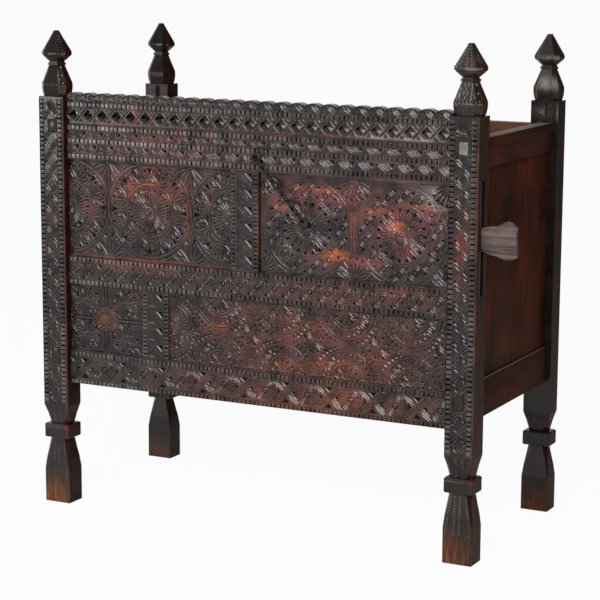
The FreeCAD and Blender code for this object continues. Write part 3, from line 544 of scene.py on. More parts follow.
def lattice(face, middle, half, low, high, pitch, depth):
    # Two ribbons of leaves that cross again and again up a face, with small chips beside each diamond
    count = round((high - low) / pitch)
    pitch = (high - low) / count
    for number in range(count + 1):
        up = low + pitch * number
        for side, rise in diagonals:
            if low - 1 < up + rise * pitch / 4 < high + 1:
                face.lens(middle + side * 0.8, up + rise * 0.8, middle + side * (half - 1),
                          up + rise * pitch / 2, 11, 2, depth)
        for side in (-1, 1) if number < count else ():
            level = up + pitch / 2
            inner, outer = middle + side * half * 0.45, middle + side * half * 0.98
            face.chip(((outer, level + 7), (outer, level - 7), (inner, level)))


def knob_side(face, half, crisp):
    # One front side of the knob: dots up the onion, painted highlights at the widest of the onion and
    # of the pear, scales on the pear and fine strokes under them, all shallower and the highlights fainter
    # where they are less crisp
    for row in range(7):
        spread = half * (1.02 - 0.13 * row)
        for across in np.linspace(-spread * 0.66, spread * 0.66, 3):
            face.punch(across, 1104 + row * 6.2, 2.4, 1.5 * crisp)
    for row in range(5):
        count = 3 if row % 2 else 4
        for across in np.linspace(-half * 0.7, half * 0.7, count if half > 16 else count - 1):
            face.leaf(across, 1022 + row * 9, across, 1030.5 + row * 9, 6.4, 2.2 * crisp)
    for across in np.arange(-half, half, 3.2):
        face.groove(across, 999, across, 1017, 2.2, 0.9)
    for level in (1019, 1091):
        face.groove(-half, level, half, level, 2.6, 1.4)
    # Painted highlights: pale bands at the widest of the onion and of the pear
    for low, high in ((1093, 1100), (1019.5, 1022)):
        face.shine[face.part(-half, half, low, high)[0]] = 2 * crisp
    face.rub((half * 0.5, 1100, half, 20, 0.0, 0.35))


def post_face(pitch, tenon_left, tenon_right, stain):
    # The front face of a post from foot to knob
    face = Carving(-35.0, 35.0, 0, chest_top)
    for across in np.arange(-31, 31.1, 5.2):
        face.punch(across, 190.5, 2.7, 1.7)
    for up in np.arange(70, 160, 6.5):
        inset = 7 + 12 * max((up - 83) / 79, 0)
        for across in (-35 + inset, 35 - inset, -9, 4):
            face.punch(across, up, 2.4, 1.6)
    for up in np.arange(200, 246, 6):
        inset = 17 - 12 * min((up - 196) / 48, 1)
        for across in (-35 + inset, -8, 8, 35 - inset):
            face.punch(across, up, 2.4, 1.6)
    for x_low, x_high in ((-33, -22.5), (17.5, 28)):
        face.teeth(x_low, x_high, 250, 988, 11.2, 3, 3.2, upright=True, beside=(0.8, 2, 1.6))
    face.pocket(30.2, 35, 250, 992, 0.9)
    lattice(face, -2.5, 19, 254, 254 + pitch * round(690 / pitch), pitch, 2.4 - 0.4 * stain)
    for turn in range(9):
        angle = math.radians(8 + 20.5 * turn)
        face.leaf(-2.5 + 5 * math.cos(angle), 953 + 5 * math.sin(angle), -2.5 + 22 * math.cos(angle),
                  953 + 36 * math.sin(angle), 5, 2.8)
    for low, high in ((350, 388), (912, 940)):
        # The ends of the side rails' tenons lie flush in the face, so the wood round them is sunk
        face.depth[face.part(tenon_left - 3, tenon_right + 3, low - 3, high + 3)[0]] = 0
        face.pocket(tenon_left - 1.2, tenon_right + 1.2, low - 1.2, high + 1.2, 4)
    face.rub((-6, 10, 50, 46, 0.9, 0.5), (24, 30, 14, 50, 0.4, 0.5), (30, 205, 8, 30, 0.0, 0.9),
             (33, 620, 3, 520, 0.45, 1.0), (-3, 705, 24, 80, stain * 0.15, stain))
    knob_side(face, 19, 0.35 + 0.65 * stain)
    return face


front_columns = (54, 9, 6, 2, 2, 2, 6, 9)
for name, middle_x, pitch, tenon, stain in (("front_left_post", chest_left + 35, 51, (-8.0, 14.0), 0.25),
                                            ("front_right_post", chest_right - 35, 45, (-14.0, 8.0), 1.0)):
    slanted = Carving(-16.0, 16.0, 0, chest_top)
    knob_side(slanted, 13, 0.35 + 0.65 * stain)
    slanted.rub((0, 30, 20, 50, 0.4, 0.5), (0, 200, 12, 40, 0.0, 0.9))
    front = post_face(pitch, *tenon, stain)
    if name == "front_left_post":
        # Its knob has lost its shine, but for one spot of painted highlight at the onion's widest
        front.shine[front.part(-35, 99, block_top, 1200)[0]] = -0.7
        front.shine[front.part(-6, 14, 1093, 1097)[0]] = 3
    timber = post(name, middle_x, chest_front + 28, 70, 56, 8, front_columns, 1.35,
                  {0: front, 1: slanted, 7: slanted}, stain * 0.45)
    if name == "front_right_post":
        # The slot that the door slides through goes right across the post
        slot = bmesh.new()
        bmesh.ops.create_cube(slot, size=1, matrix=Matrix.Translation((0.488, -0.2417, 0.7305))
                              @ Matrix.Diagonal((0.2, 0.0176, 0.252, 1)))
        cut_through(timber, slot)

# Rear posts: the same timber a little slimmer, hewn plain on every side. The left one's block and knob
# are dull but for a spot of painted highlight, and the right one has patches of painted sheen.

for name, middle_x in (("rear_left_post", chest_left + 34), ("rear_right_post", chest_right - 34)):
    plain_face = Carving(-34.0, 34.0, 0, chest_top)
    plain_face.leaf(4, 955, 4, 990, 9, 3)
    plain_face.rub((0, 10, 60, 45, 0.4, 0.4))
    if name == "rear_left_post":
        plain_face.shine[plain_face.part(-34, 99, 900, 1200)[0]] = -0.8
        # A spot of painted highlight at the onion's widest
        plain_face.shine[plain_face.part(2, 14, 1093, 1097)[0]] = 3
    else:
        # Painted sheen on the block, the pear and the onion's widest
        plain_face.paint_sheen((-2, 972, 16, 16, 3.4), (-2, 1035, 16, 14, 3.4), (-2, 1096, 16, 4, 3.4))
    post(name, middle_x, chest_back - 26, 68, 52, 10, (16, 3, 6, 3, 6, 3, 6, 3), 3,
         {0: plain_face, 1: plain_face}, 0.15)

# Front rails: three long boards tenoned into the front posts. Each is carved along its whole face
# in bands: rows of square teeth at the edges, with leaf, boss or disc borders between them.


def board_mesh(name, columns, rows):
    # A flat grid for the carved front, with walls round it and a plain back
    mesh = bpy.data.meshes.new(name)
    shape = bmesh.new()
    bmesh.ops.create_grid(shape, x_segments=columns, y_segments=rows, size=0.5)
    rim = [edge for edge in shape.edges if edge.is_boundary]
    walls = bmesh.ops.extrude_edge_only(shape, edges=rim)["geom"]
    far = [item for item in walls if isinstance(item, bmesh.types.BMVert)]
    bmesh.ops.translate(shape, verts=far, vec=(0, 0, -1))
    bmesh.ops.contextual_create(shape, geom=[item for item in walls if isinstance(item, bmesh.types.BMEdge)
                                             and item.is_boundary])
    bmesh.ops.recalc_face_normals(shape, faces=shape.faces)
    shape.to_mesh(mesh)
    shape.free()
    return mesh, *grid_numbers(mesh, columns, rows)


def carved_board(name, carving, front, back, step, material, cad):
    # A board whose front is a fine grid of points sunk to the carving's depth
    width, height = carving.right - carving.left, carving.high - carving.low
    columns, rows = round(width / step), round(height / step)
    mesh, column, row, behind = board_mesh(name, columns, rows)
    x = carving.left + width * column / columns
    z = carving.low + height * row / rows
    fields = carving.fields(x, z)
    edge = (column == 0) | (column == columns) | (row == 0) | (row == rows)
    fields[0] = np.where(edge, np.maximum(fields[0], 0.8), fields[0])
    set_points(mesh, x, np.where(behind, back, front + fields[0]), z, fields)
    return finished(name, mesh, material, "carved_wood", cad)


rail_left, rail_right = -537.0, 453.0
rail_front, rail_back = -254.0, -222.0


def toothed_rail(low, high, teeth, pitch, **shape):
    # The face of a front rail, with its rows of teeth
    face = Carving(rail_left, rail_right, low, high)
    for row in teeth:
        face.teeth(rail_left, rail_right, *row, pitch, **shape)
    return face


def front_rail(place, face):
    carved_board(place + "_rail_board", face, rail_front, rail_back, 1.3, rail_wood,
                 "front_" + place + "_rail")


# The top rail's teeth take the strongest painted highlight
face = toothed_rail(846, 934, ((918, 928.4), (886.3, 897), (850.6, 861)), 11.8, pale=1.7)
for low, high, shift in ((899, 916, 20.0), (863, 884.5, 0.0)):
    for left in np.arange(rail_left - 60 + shift, rail_right, 48.3):
        # One motif: a feather of three strokes down to the right, with a deep chip and a flat one beside it
        rise = high - low
        face.lens(left + 3, high, left + 36, low, 15.5, 3)
        face.chip(((left + 22, high), (left + 47, high), (left + 41, low + rise * 0.25)))
        face.chip(((left - 7, low + 0.3), (left + 20, low + 0.3), (left + 1, low + rise * 0.75)), 1.2)
face.rub((-300, 880, 260, 60, 0.0, 0.75), (-40, 900, 320, 40, 0.0, 0.35), (200, 936, 420, 3, 0.25, 0.9),
         (-300, 936, 260, 4, 0.15, 0.9), (-320, 905, 30, 12, 0.4, 0.8), (300, 848, 300, 2.5, 0.3, 0.4),
         (380, 880, 140, 40, 0.0, 0.4))
front_rail("top", face)

face = toothed_rail(546, 615, ((602, 611.6), (547.4, 557)), 12)
for middle in np.arange(rail_left + 18, rail_right + 20, 45.0):
    for size in ((18, 4, 1.5), (12, 3.8, 1.5), (6, 4.6, deep_cut)):
        face.ring(middle, 580, *size)
    edge = middle + 22.5
    for level, rise in ((599, -1), (560, 1)):
        face.chip(((edge - 9, level), (edge + 9, level), (edge, level + rise * 12)))
        for side in (-1, 1):
            face.leaf(edge + side * 13, level, edge + side * 2, level + rise * 17, 4, 2.2, side * rise * 2)
face.rub((-330, 600, 180, 14, 0.2, 0.8), (200, 580, 260, 34, 0.12, 0.55), (340, 596, 60, 16, 0.3, 0.9))
front_rail("mid", face)

face = toothed_rail(302, 385, ((370.5, 380), (302.6, 311.6)), 11.2, gap=2.8)
disc_z, disc_pitch = 341.0, 109.8
for number in range(-1, 10):
    middle = -442 + disc_pitch * number
    face.ring(middle, disc_z, 28.4, 3, 2.6)
    face.ring(middle, disc_z, (23.6, 18.8, 14), 3.2, 1.6)
    face.ring(middle, disc_z, 7, 4.6, deep_cut)
    cross = middle + disc_pitch / 2
    for side, rise in diagonals:
        # Ribbons of three strokes that swing round the discs and cross between them
        face.lens(cross, disc_z, cross + side * 42, disc_z + rise * 28.5, 15, 3, 2.2)
        face.leaf(middle + side * 10, disc_z + rise * 28, middle + side * 30, disc_z + rise * 26.5, 4, 2.4)
    for side in (-1, 1):
        face.chip(((cross + side * 25, disc_z + 12), (cross + side * 25, disc_z - 12),
                   (cross + side * 11, disc_z)))
    for edge, point in ((368.5, disc_z + 10), (313.5, disc_z - 10)):
        face.chip(((cross - 17, edge), (cross + 17, edge), (cross, point)))
face.rub((200, 345, 60, 30, 0.85, 0.5), (60, 340, 300, 36, 0.25, 0.8), (350, 340, 80, 34, 0.2, 0.7),
         (40, 312, 260, 10, 0.6, 0.5))
front_rail("bottom", face)

# Muntins: two short uprights that part the panels, with teeth along both edges
# and a column of slanting feathers between them.

muntin_width = 70
for name, left, low, high in (("upper_muntin", -91.0, 615, 846), ("lower_muntin", -331.0, 385, 546)):
    face = Carving(left, left + muntin_width, low, high)
    for edge, width in ((left + 1.5, 8.5), (left + 59, 9.5)):
        face.teeth(edge, edge + width, low, high, 9.6, 2.6, upright=True)
    count = round((high - low) / 37)
    for number in range(-1, count + 1):
        up = low + (high - low) / count * (number + 0.5)
        face.lens(left + 13, up + 19, left + 56, up - 19, 11, 2, 1.4)
        face.chip(((left + 30, up + 17), (left + 56, up + 17), (left + 56, up - 8)))
        face.chip(((left + 13, up + 8), (left + 13, up - 17), (left + 38, up - 17)), 1.4)
        face.leaf(left + 36, up + 15, left + 55, up - 4, 4, 2.2)
    face.rub((left + 69, (low + high) / 2, 2.5, 200, 0.35, 0.8))
    carved_board(name + "_board", face, rail_front, rail_back, 1.3, post_wood, name)

# Fixed panels: single boards held in grooves, chip carved with wheels, flowers and arches
# that cover the whole of them.

panel_wood = carved_wood("carved_panel_wood", "X", "#171211", "#261B18", "#56211F", "#8A421E")
panel_front, panel_back = -249.0, -234.4


def fixed_panel(name, face, step):
    carved_board(name + "_board", face, panel_front, panel_back, step, panel_wood, name)


def palmette(face, x0, z0, turn, spread, length, count, width, depth=2.1):
    # A fan of long leaves out of one point, the middle one the longest, with chips between their tips
    far = length * 0.97
    for number in range(count):
        offset = number / (count - 1) * 2 - 1
        angle = turn + offset * spread
        reach = length * (1 - 0.18 * offset ** 2)
        face.lens(*polar(x0, z0, 4, angle), *polar(x0, z0, reach, angle), width, 2, depth)
        if number:
            between = turn + (number - 0.5) / (count - 1) * 2 * spread - spread
            half = math.radians(spread / (count - 1) * 0.62)
            face.wedge(x0, z0, length * 0.68, far, between, 2 * half * far)


def wheel(face, x0, z0, first, last):
    # A wheel: rays round a boss, a smooth band, palmettes and a second smooth band
    turns = (last - first) / 360
    face.ring(x0, z0, 5.5, 3, 2.6, first, last)
    face.fan(x0, z0, 8, 20, first, last, round(18 * turns), 3.6, 1, 2.4)
    face.ring(x0, z0, 21.5, 2.4, 2.2, first, last)
    face.fan(x0, z0, 22, 47, first, last, round(32 * turns), 4.6, 1, 2.4)
    face.wedges(x0, z0, 40, 55, first, last, round(20 * turns), 9)
    face.fan(x0, z0, 45, 57, first, last, round(20 * turns), 5, 1, 2.4)
    face.ring(x0, z0, (57.5, 67, 106.5, 116.5), 2.8, 2.6, first, last)
    for number in range(round(8 * turns)):
        turn = first + 45 * (number + 0.5)
        palmette(face, *polar(x0, z0, 66, turn), turn, 60, 41, 5, 12.5, 2.3)
        face.wedge(x0, z0, 76, 104, turn + 22.5, 20)


# Upper left panel: one big wheel between two half wheels
left, right, low, high = -537.0, -91.0, 615.0, 846.0
face = Carving(left, right, low, high)
x0, z0 = -313.5, 735.6
for edge, level, turn in ((-425.5, 617, 90), (-201.5, 617, 90), (-425.5, 846, 270), (-201.5, 846, 270)):
    palmette(face, edge, level, turn, 66, 66, 7, 14, 2.4)
wheel_face = Carving(left, right, low, high)
across, up = np.meshgrid(face.x, face.z)
near_wheel = np.inf
for middle, first, last in ((x0, 0, 360), (left - 0.5, -90, 90), (right + 1.5, 90, 270)):
    wheel(wheel_face, middle, z0, first, last)
    near_wheel = np.minimum(near_wheel, np.hypot(across - middle, up - z0))
face.depth = np.where(near_wheel < 118, wheel_face.depth, face.depth)
for level in (620.5, 843):
    face.groove(left, level, right, level, 2.4, 2)
face.rub((x0, 800, 60, 9, 0.7, 0.7), (x0 - 50, 785, 20, 20, 0.7, 0.6), (x0 + 50, 772, 16, 16, 0.6, 0.6),
         (x0, 617, 260, 4, 0.5, 0.9), (x0 - 10, 800, 150, 55, 0.1, 1.0), (x0, 740, 70, 60, 0.0, 0.7),
         (-460, 740, 60, 60, 0.0, 0.7), (-213, 740, 10, 70, 0.3, 0.9))
fixed_panel("upper_left_panel", face, 1.2)

# Lower left panel: a notched rosette between four flowers
face = Carving(-537.0, -331.0, 385.0, 546.0)
x0, z0 = -437.0, 465.0
for side, rise in diagonals:
    x1, z1 = x0 + side * 55, z0 + rise * 41
    inward = math.degrees(math.atan2(-rise, -side)) % 360
    face.ring(x1, z1, 38, 3.4, deep_cut, inward - 75, inward + 75)
    face.fan(x1, z1, 5, 37, 0, 360, 10, 14, 2)
    face.wedges(x1, z1, 24, 37, 0, 360, 10, 11)
    face.punch(x1, z1, 4, 1.6)
    palmette(face, x0 + side * 99, z0 + rise * 79, inward, 44, 34, 5, 10)
    face.fan(x0 + side * 100, z0 + rise * 6, 4, 30, 90 + side * 10, 90 + side * 170, 5, 8, 2, 2.8)
    face.groove(x0 + rise * 4.5, z0 + side * 35, x0 + rise * 4.5, z0 + side * 78, 5, deep_cut)
    face.groove(x0 + side * 35, z0 + rise * 4.5, x0 + side * 98, z0 + rise * 4.5, 5, deep_cut)
face.smooth(x0, z0, 33)
face.ring(x0, z0, 32.5, 3.4, deep_cut)
for turn in range(22):
    face.punch(*polar(x0, z0, 30, 360 * turn / 22), 3, 2.4)
face.fan(x0, z0, 8, 26, 0, 360, 16, 5.5, 1, 2.0)
face.ring(x0, z0, (6, 17.5, 26.5), 2.6, 1.8)
face.rub((x0, z0, 26, 26, 0.25, 1.0), (x0 + 50, z0 + 60, 60, 20, 0.0, 0.4))
fixed_panel("lower_left_panel", face, 1.2)

# Lower right panel: rows of arches above and below, with a star and sheaves of leaves between them
left, level = -261.0, 465.5
face = Carving(left, 453.0, 385.0, 546.0)
for number in range(-1, 5):
    x1 = -122.7 + 162.5 * number
    star, star_z = x1 + 81.3, 467.5
    for z1, first, rise in ((387.0, 0, 1), (544.0, 180, -1)):
        face.fan(x1, z1, 3, 30, first, first + 180, 6, 11, 2)
        face.wedges(x1, z1, 20, 31, first, first + 180, 6, 10)
        face.ring(x1, z1, (32.5, 39.5, 61, 69), 2.8, 2.6, first, first + 180)
        face.fan(x1, z1, 40, 60, first, first + 180, 12, 12, 2)
        face.wedges(x1, z1, 49, 60, first, first + 180, 12, 8)
        for turn in (12, 108):
            face.fan(x1, z1, 70, 84, first + turn, first + turn + 60, 7, 7)
        face.lens(star, z1 + rise * 3, star, star_z - rise * 31, 17, 3, 2.2)
        for side in (-1, 1):
            face.lens(star + side * 3, z1 + rise * 3, star + side * 17, z1 + rise * 38, 9, 3, 2.1)
            face.chip(((star + side * 6, z1 + rise * 2), (star + side * 12, z1 + rise * 2),
                       (star + side * 10, z1 + rise * 18)))
    for side in (-1, 1):
        face.lens(x1 + side * 3, level, x1 + side * 56, level, 12, 4, 2.1)
    face.smooth(star, star_z, 31)
    for turn in range(0, 360, 45):
        face.lens(*polar(star, star_z, 2, turn), *polar(star, star_z, 30, turn), 10, 2, 2.4)
    face.wedges(star, star_z, 14, 29, 22.5, 382.5, 8, 10)
area, across, up = face.part(left, -200, 385, 546)
face.depth[area] = np.where(np.hypot(across - left, up - level) < 82, 0, face.depth[area])
face.ring(left, level, (12, 26, 33, 59, 67), 2.8, 2.6, -90, 90)
face.fan(left, level, 13, 25, -90, 90, 7, 7, 2, 2.8)
face.fan(left, level, 34, 58, -90, 90, 10, 13, 2, 2.7)
face.fan(left, level, 68, 81, -90, 90, 22, 7)
face.rub((110, 470, 330, 90, 0.10, 0.9), (160, 412, 160, 20, 0.5, 0.9), (280, 440, 40, 34, 0.5, 0.9),
         (40, 400, 24, 22, 0.6, 0.7), (110, 500, 80, 20, 0.3, 1.0), (-130, 478, 26, 8, 0.8, 0.7),
         (100, 388, 300, 4, 0.6, 0.9), (-240, 548, 60, 4, 0.3, 0.7))
fixed_panel("lower_right_panel", face, 1.3)

# Crest board: a thin board on the top rail, scalloped along its top edge and pierced with a row
# of diamonds that were chopped through with a chisel.

crest_low, crest_back = 934.0, -232.0
crest_columns, crest_rows = 760, 56
scallops = 25
scallop_pitch = (rail_right - rail_left) / scallops
valley, scallop_rise = 999.5, 7.0
diamond_half_width, diamond_half_height, diamond_z = 13.75, 14.5, 954.0
scallop_radius = (scallop_rise ** 2 + scallop_pitch ** 2 / 4) / (2 * scallop_rise)
face = Carving(rail_left, rail_right, crest_low, valley + scallop_rise)
# The crest's teeth get a painted highlight too
face.teeth(rail_left, rail_right, 972.8, 983, 11.8, 2.8, pale=1.4, beside=None)
for up in (984.2, 971.4):
    face.groove(rail_left, up, rail_right, up, 2.2, 2)
for number in range(scallops + 1):
    left = rail_left + scallop_pitch * number
    face.lens(left + 15, 1005, left + 37, 985, 12, 3, 1.7)
    face.chip(((left - 3, 985.5), (left + 8, 985.5), (left + 3, 992)))
    face.chip(((left + 10, 985.5), (left + 19, 985.5), (left + 13, 991)))
    face.chip(((left + 9, 995), (left + 15, 1001), (left + 16, 993)))
    for rise in (-1, 1):
        # A groove along the middle of each strut leaves two ridges that cross between the diamonds
        face.groove(left - rise * 14, diamond_z - 14.8, left + rise * 14, diamond_z + 14.8, 3.6, 2.2)
        face.chip(((left - 7, diamond_z + rise * 17), (left + 7, diamond_z + rise * 17),
                   (left, diamond_z + rise * 8)), 1.3)
face.rub((-300, 934, 300, 4, 0.2, 1.0), (200, 934, 300, 3, 0.25, 0.9), (-330, 960, 60, 30, 0.0, 0.8))
# Painted sheen along the foot and across the struts of the right part of the crest
face.paint_sheen((330, 939, 130, 5, 4), (380, 955, 110, 22, 2))
mesh, column, row, behind = board_mesh("crest_board_carved", crest_columns, crest_rows)
x = rail_left + (rail_right - rail_left) * column / crest_columns
from_middle = (x - rail_left) % scallop_pitch - scallop_pitch / 2
rise = np.sqrt(scallop_radius ** 2 - from_middle ** 2) - (scallop_radius - scallop_rise)
top = valley + np.clip(rise, 0, None)
z = crest_low + (top - crest_low) * row / crest_rows
fields = face.fields(x, z)
fields[0] = np.maximum(fields[0], 1.6 * (1 - np.abs(top - z - 3.4) / 1.5))
# A painted highlight runs along the top edge of the crest
fields[3] = np.maximum(fields[3], 0.6 * (np.abs(top - z - 1.2) < 1))
set_points(mesh, x, np.where(behind, crest_back, rail_front + fields[0]), z, fields)
crest_piece = finished("crest_board_carved", mesh, rail_wood, "carved_wood", "crest_board")
diamonds = bmesh.new()
for number in range(scallops):
    middle = rail_left + scallop_pitch * (number + 0.5)
    made = bmesh.ops.create_cone(diamonds, cap_ends=True, segments=4, radius1=1, radius2=1, depth=60)
    bmesh.ops.rotate(diamonds, verts=made["verts"], cent=(0, 0, 0),
                     matrix=Matrix.Rotation(math.radians(90), 3, "X"))
    bmesh.ops.scale(diamonds, verts=made["verts"], vec=(diamond_half_width, 1, diamond_half_height))
    bmesh.ops.translate(diamonds, verts=made["verts"], vec=(middle, rail_front + 11, diamond_z))
bmesh.ops.scale(diamonds, verts=diamonds.verts, vec=(0.001, 0.001, 0.001))
cut_through(crest_piece, diamonds)
# Painted shade: every point behind the front, the walls of the diamonds and the back of the board, is given
# the deepest cut, so that it turns nearly black and dull
for point, depth in zip(crest_piece.data.vertices, crest_piece.data.attributes["cut"].data):
    if point.co.y > -0.248:
        depth.value = 3.0

# Side frames: plain rails and upright planks of the same wood, oiled but never carved.
# The rails' tenons go through the front posts, and their bare ends show in the posts' faces.


def plain_wood(name, grain, dark, light, gloss, dust_and_top_light):
    # Plain board wood: long streaks of two tones and fine pores, dry, and mixed towards a pale grey where it
    # lies level, partly as dust and partly as painted light from above
    material, tree = new_material(name)
    place = node(tree, "TexCoord").outputs["Object"]
    along = {"X": (5, 90, 90), "Y": (90, 5, 90), "Z": (90, 90, 5)}[grain]
    stretched = node(tree, "Mapping", {"Vector": place, "Scale": along})
    streaks = node(tree, "TexNoise", {"Vector": stretched, "Scale": 1.0, "Detail": 6.0, "Roughness": 0.65})
    finer = node(tree, "TexNoise", {"Vector": stretched, "Scale": 5.0, "Detail": 3.0, "Roughness": 0.6})
    cloud = node(tree, "TexNoise", {"Vector": place, "Scale": 6.0, "Detail": 3.0})
    both = node(tree, "Math", (streaks, cloud), operation="ADD")
    tone = node(tree, "MapRange", (both, 0.8, 1.2))
    base = node(tree, "Mix", {0: tone, 6: linear(dark), 7: linear(light)}, data_type="RGBA")
    pores = node(tree, "MapRange", (finer, 0.32, 0.5, 0.6, 1.05))
    shade = node(tree, "HueSaturation", {"Value": pores, "Color": base})
    facing = node(tree, "SeparateXYZ", (node(tree, "NewGeometry").outputs["Normal"],)).outputs
    # Faces that lie level are mixed towards a pale grey: partly dust, partly painted light from above
    lying = node(tree, "MapRange", (facing["Z"], 0.6, 0.95, 0.0, dust_and_top_light))
    with_dust_and_top_light = node(tree, "Mix", {0: lying, 6: shade, 7: linear("#9A9084")}, data_type="RGBA")
    matt = node(tree, "MapRange", (streaks, 0.3, 0.7, gloss, gloss + 0.15))
    relief = node(tree, "Bump", {"Height": finer, "Strength": 0.45, "Distance": 0.0006})
    surface = node(tree, "BsdfPrincipled", {"Base Color": with_dust_and_top_light, "Roughness": matt, "IOR": 1.45,
                                            "Specular IOR Level": 0.12, "Normal": relief})
    node(tree, "OutputMaterial", {"Surface": surface})
    return material


def cad_shape(cad):
    # A copy of a CAD piece's mesh, and its shape with the loose triangles joined
    mesh = frame["nodes"][cad].data.copy()
    mesh.materials.clear()
    shape = bmesh.new()
    shape.from_mesh(mesh)
    bmesh.ops.remove_doubles(shape, verts=shape.verts, dist=1e-5)
    bmesh.ops.dissolve_limit(shape, angle_limit=math.radians(1), verts=shape.verts, edges=shape.edges)
    return mesh, shape


def ease(mesh, shape, edges, width):
    # Rounds the edges given, and puts the shape back in its mesh
    bmesh.ops.bevel(shape, geom=edges, offset=width / 1000, offset_type="OFFSET", segments=2, profile=0.5,
                    affect="EDGES", material=-1, clamp_overlap=True)
    shape.to_mesh(mesh)
    shape.free()


def sawn_board(cad, material, slot, edge):
    # The CAD board itself with its edges eased
    mesh, shape = cad_shape(cad)
    mesh.name = cad + "_wood"
    ease(mesh, shape, list(shape.edges), edge)
    return finished(cad + "_wood", mesh, material, slot, cad)


side_rail_wood = plain_wood("oiled_side_rail_wood", "Y", "#2E1711", "#552A1D", 0.6, 0.6)
side_plank_wood = plain_wood("oiled_side_plank_wood", "Z", "#24110A", "#602E16", 0.6, 0.5)
tenon_wood = plain_wood("bare_tenon_end_wood", "Y", "#5A5350", "#8A8480", 0.6, 0.5)
for side in ("left", "right"):
    for rail in ("top", "bottom"):
        sawn = sawn_board(side + "_" + rail + "_rail", side_rail_wood, "plain_wood", 1.2)
        sawn.data.materials.append(tenon_wood if (side, rail) == ("right", "top") else post_wood)
        for polygon in sawn.data.polygons:
            polygon.material_index = int(polygon.center.y < -0.26)
    for plank in ("front", "rear"):
        sawn_board(side + "_" + plank + "_plank", side_plank_wood, "plain_wood", 0.4)

# Back frame: two rails and five upright planks, of the same plain wood as the sides.
# The planks stand a little apart, and light comes in between them.

back_rail_wood = plain_wood("oiled_back_rail_wood", "X", "#3A2018", "#5C3628", 0.5, 0.6)
for rail in ("back_bottom_rail", "back_top_rail"):
    sawn_board(rail, back_rail_wood, "plain_wood", 1.2)
for number in range(1, 6):
    sawn_board("back_plank_" + str(number), side_plank_wood, "plain_wood", 0.8)

# Deck and floor: boards laid across bearers, above the cabinet and at the bottom of it.
# They were never oiled, and dust has greyed them. Their boards are painted paler than bare wood, as painted
# light: the bright light that falls on the deck and shines off it.

pale_painted_deck = plain_wood("pale_painted_deck_boards", "X", "#9C9488", "#DED7CC", 0.6, 0.3)
bearer_wood = plain_wood("bare_bearer_wood", "Y", "#5E5348", "#8C8072", 0.6, 0.3)
for level in ("deck", "floor"):
    for spot in ("front", "middle", "rear"):
        sawn_board(level + "_board_" + spot, pale_painted_deck, "board_wood", 1.0)
    for spot in ("left", "middle", "right"):
        sawn_board(level + "_bearer_" + spot, bearer_wood, "board_wood", 1.0)

# Sliding door: one wide board carved with two wheels of bosses. Its right end goes through the post
# and is shaped like a fish tail, left bare and rough, by which the door is pulled.

door_front, door_back = -248.7, -234.7
door_low, door_high = 606.3, 854.7
face = Carving(-17.0, 503.0, door_low, door_high)
for x1, first, last in ((-12, 20, 90), (218, 90, 160), (218, 20, 90), (449, 90, 160)):
    palmette(face, x1, 617, (first + last) / 2, 34, 54, 5, 13, 2.4)
    palmette(face, x1, 840, -(first + last) / 2, 34, 50, 5, 13, 2.4)
for x0, bosses, first in ((101.7, 13, 4.0), (334.4, 14, 10.0)):
    z0 = 724.5
    face.smooth(x0, z0, 114)
    face.ring(x0, z0, 5, 3, 2.4)
    face.fan(x0, z0, 7, 24, 0, 360, 24, 4.2, 1, 2.4)
    face.fan(x0, z0, 24, 61, 0, 360, 19, 13, 2, 2.9)
    face.wedges(x0, z0, 44, 62, 0, 360, 19, 13, 3.1)
    face.ring(x0, z0, 24, 2.2, 1.8)
    face.ring(x0, z0, (64.5, 71, 104.5, 113.5), 2.4, 1.9)
    for number in range(bosses):
        boss = polar(x0, z0, 88, first + 360 * number / bosses)
        for size in ((15.5, 3.8, 1.4), (10.6, 3.6, 1.4), (5.4, 4.4, deep_cut)):
            face.ring(*boss, *size)
        face.punch(*boss, 1.4, 1.2)
        between = first + 360 * (number + 0.5) / bosses
        face.wedge(x0, z0, 92, 103, between, 15)
        face.wedge(x0, z0, 83, 73, between, 11.68)
for step in (-4.5, 0, 4.5):
    face.groove(215 + step, 616, 215 + step, 842, 2.6, 2.2)
# The chain's ring has rubbed the wood smooth round the nail
face.smooth(102.6, 730, 13)
face.ring(102.6, 730, 14, 2.6, 2.0)
for up in (614.5, 617.5, 842):
    face.groove(-15, up, 453, up, 2.4, 1.8)
face.rub((173.6, 668.6, 34, 13, 1.0, 0.6), (133.4, 812, 44, 9, 0.7, 0.9), (324, 742, 16, 13, 0.9, 0.8),
         (269, 772, 34, 10, 0.4, 1.0), (380, 790, 60, 10, 0.25, 1.0), (30, 768, 34, 12, 0.3, 0.9),
         (215, 770, 9, 70, 0.3, 0.9), (180, 800, 120, 20, 0.1, 0.8), (215, 660, 90, 20, 0.1, 0.8),
         (340, 760, 100, 60, 0.05, 0.9), (330, 690, 40, 20, 0.1, 0.9), (70, 790, 70, 40, 0.0, 0.8))
# Painted sheen, most of all over the top right of the door and along its top edge
face.paint_sheen((420, 812, 52, 30, 3.4), (360, 846.5, 140, 4, 4.0), (60, 690, 50, 50, 0.4),
            (440, 760, 20, 60, 1.0), (104, 721, 12, 6, 2.4))
door_wood = carved_wood("carved_door_wood", "X", "#191413", "#291E1C", "#743038", "#A85522")
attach(carved_board("door_board", face, door_front, door_back, 1.2, door_wood, "sliding_door"), "door")

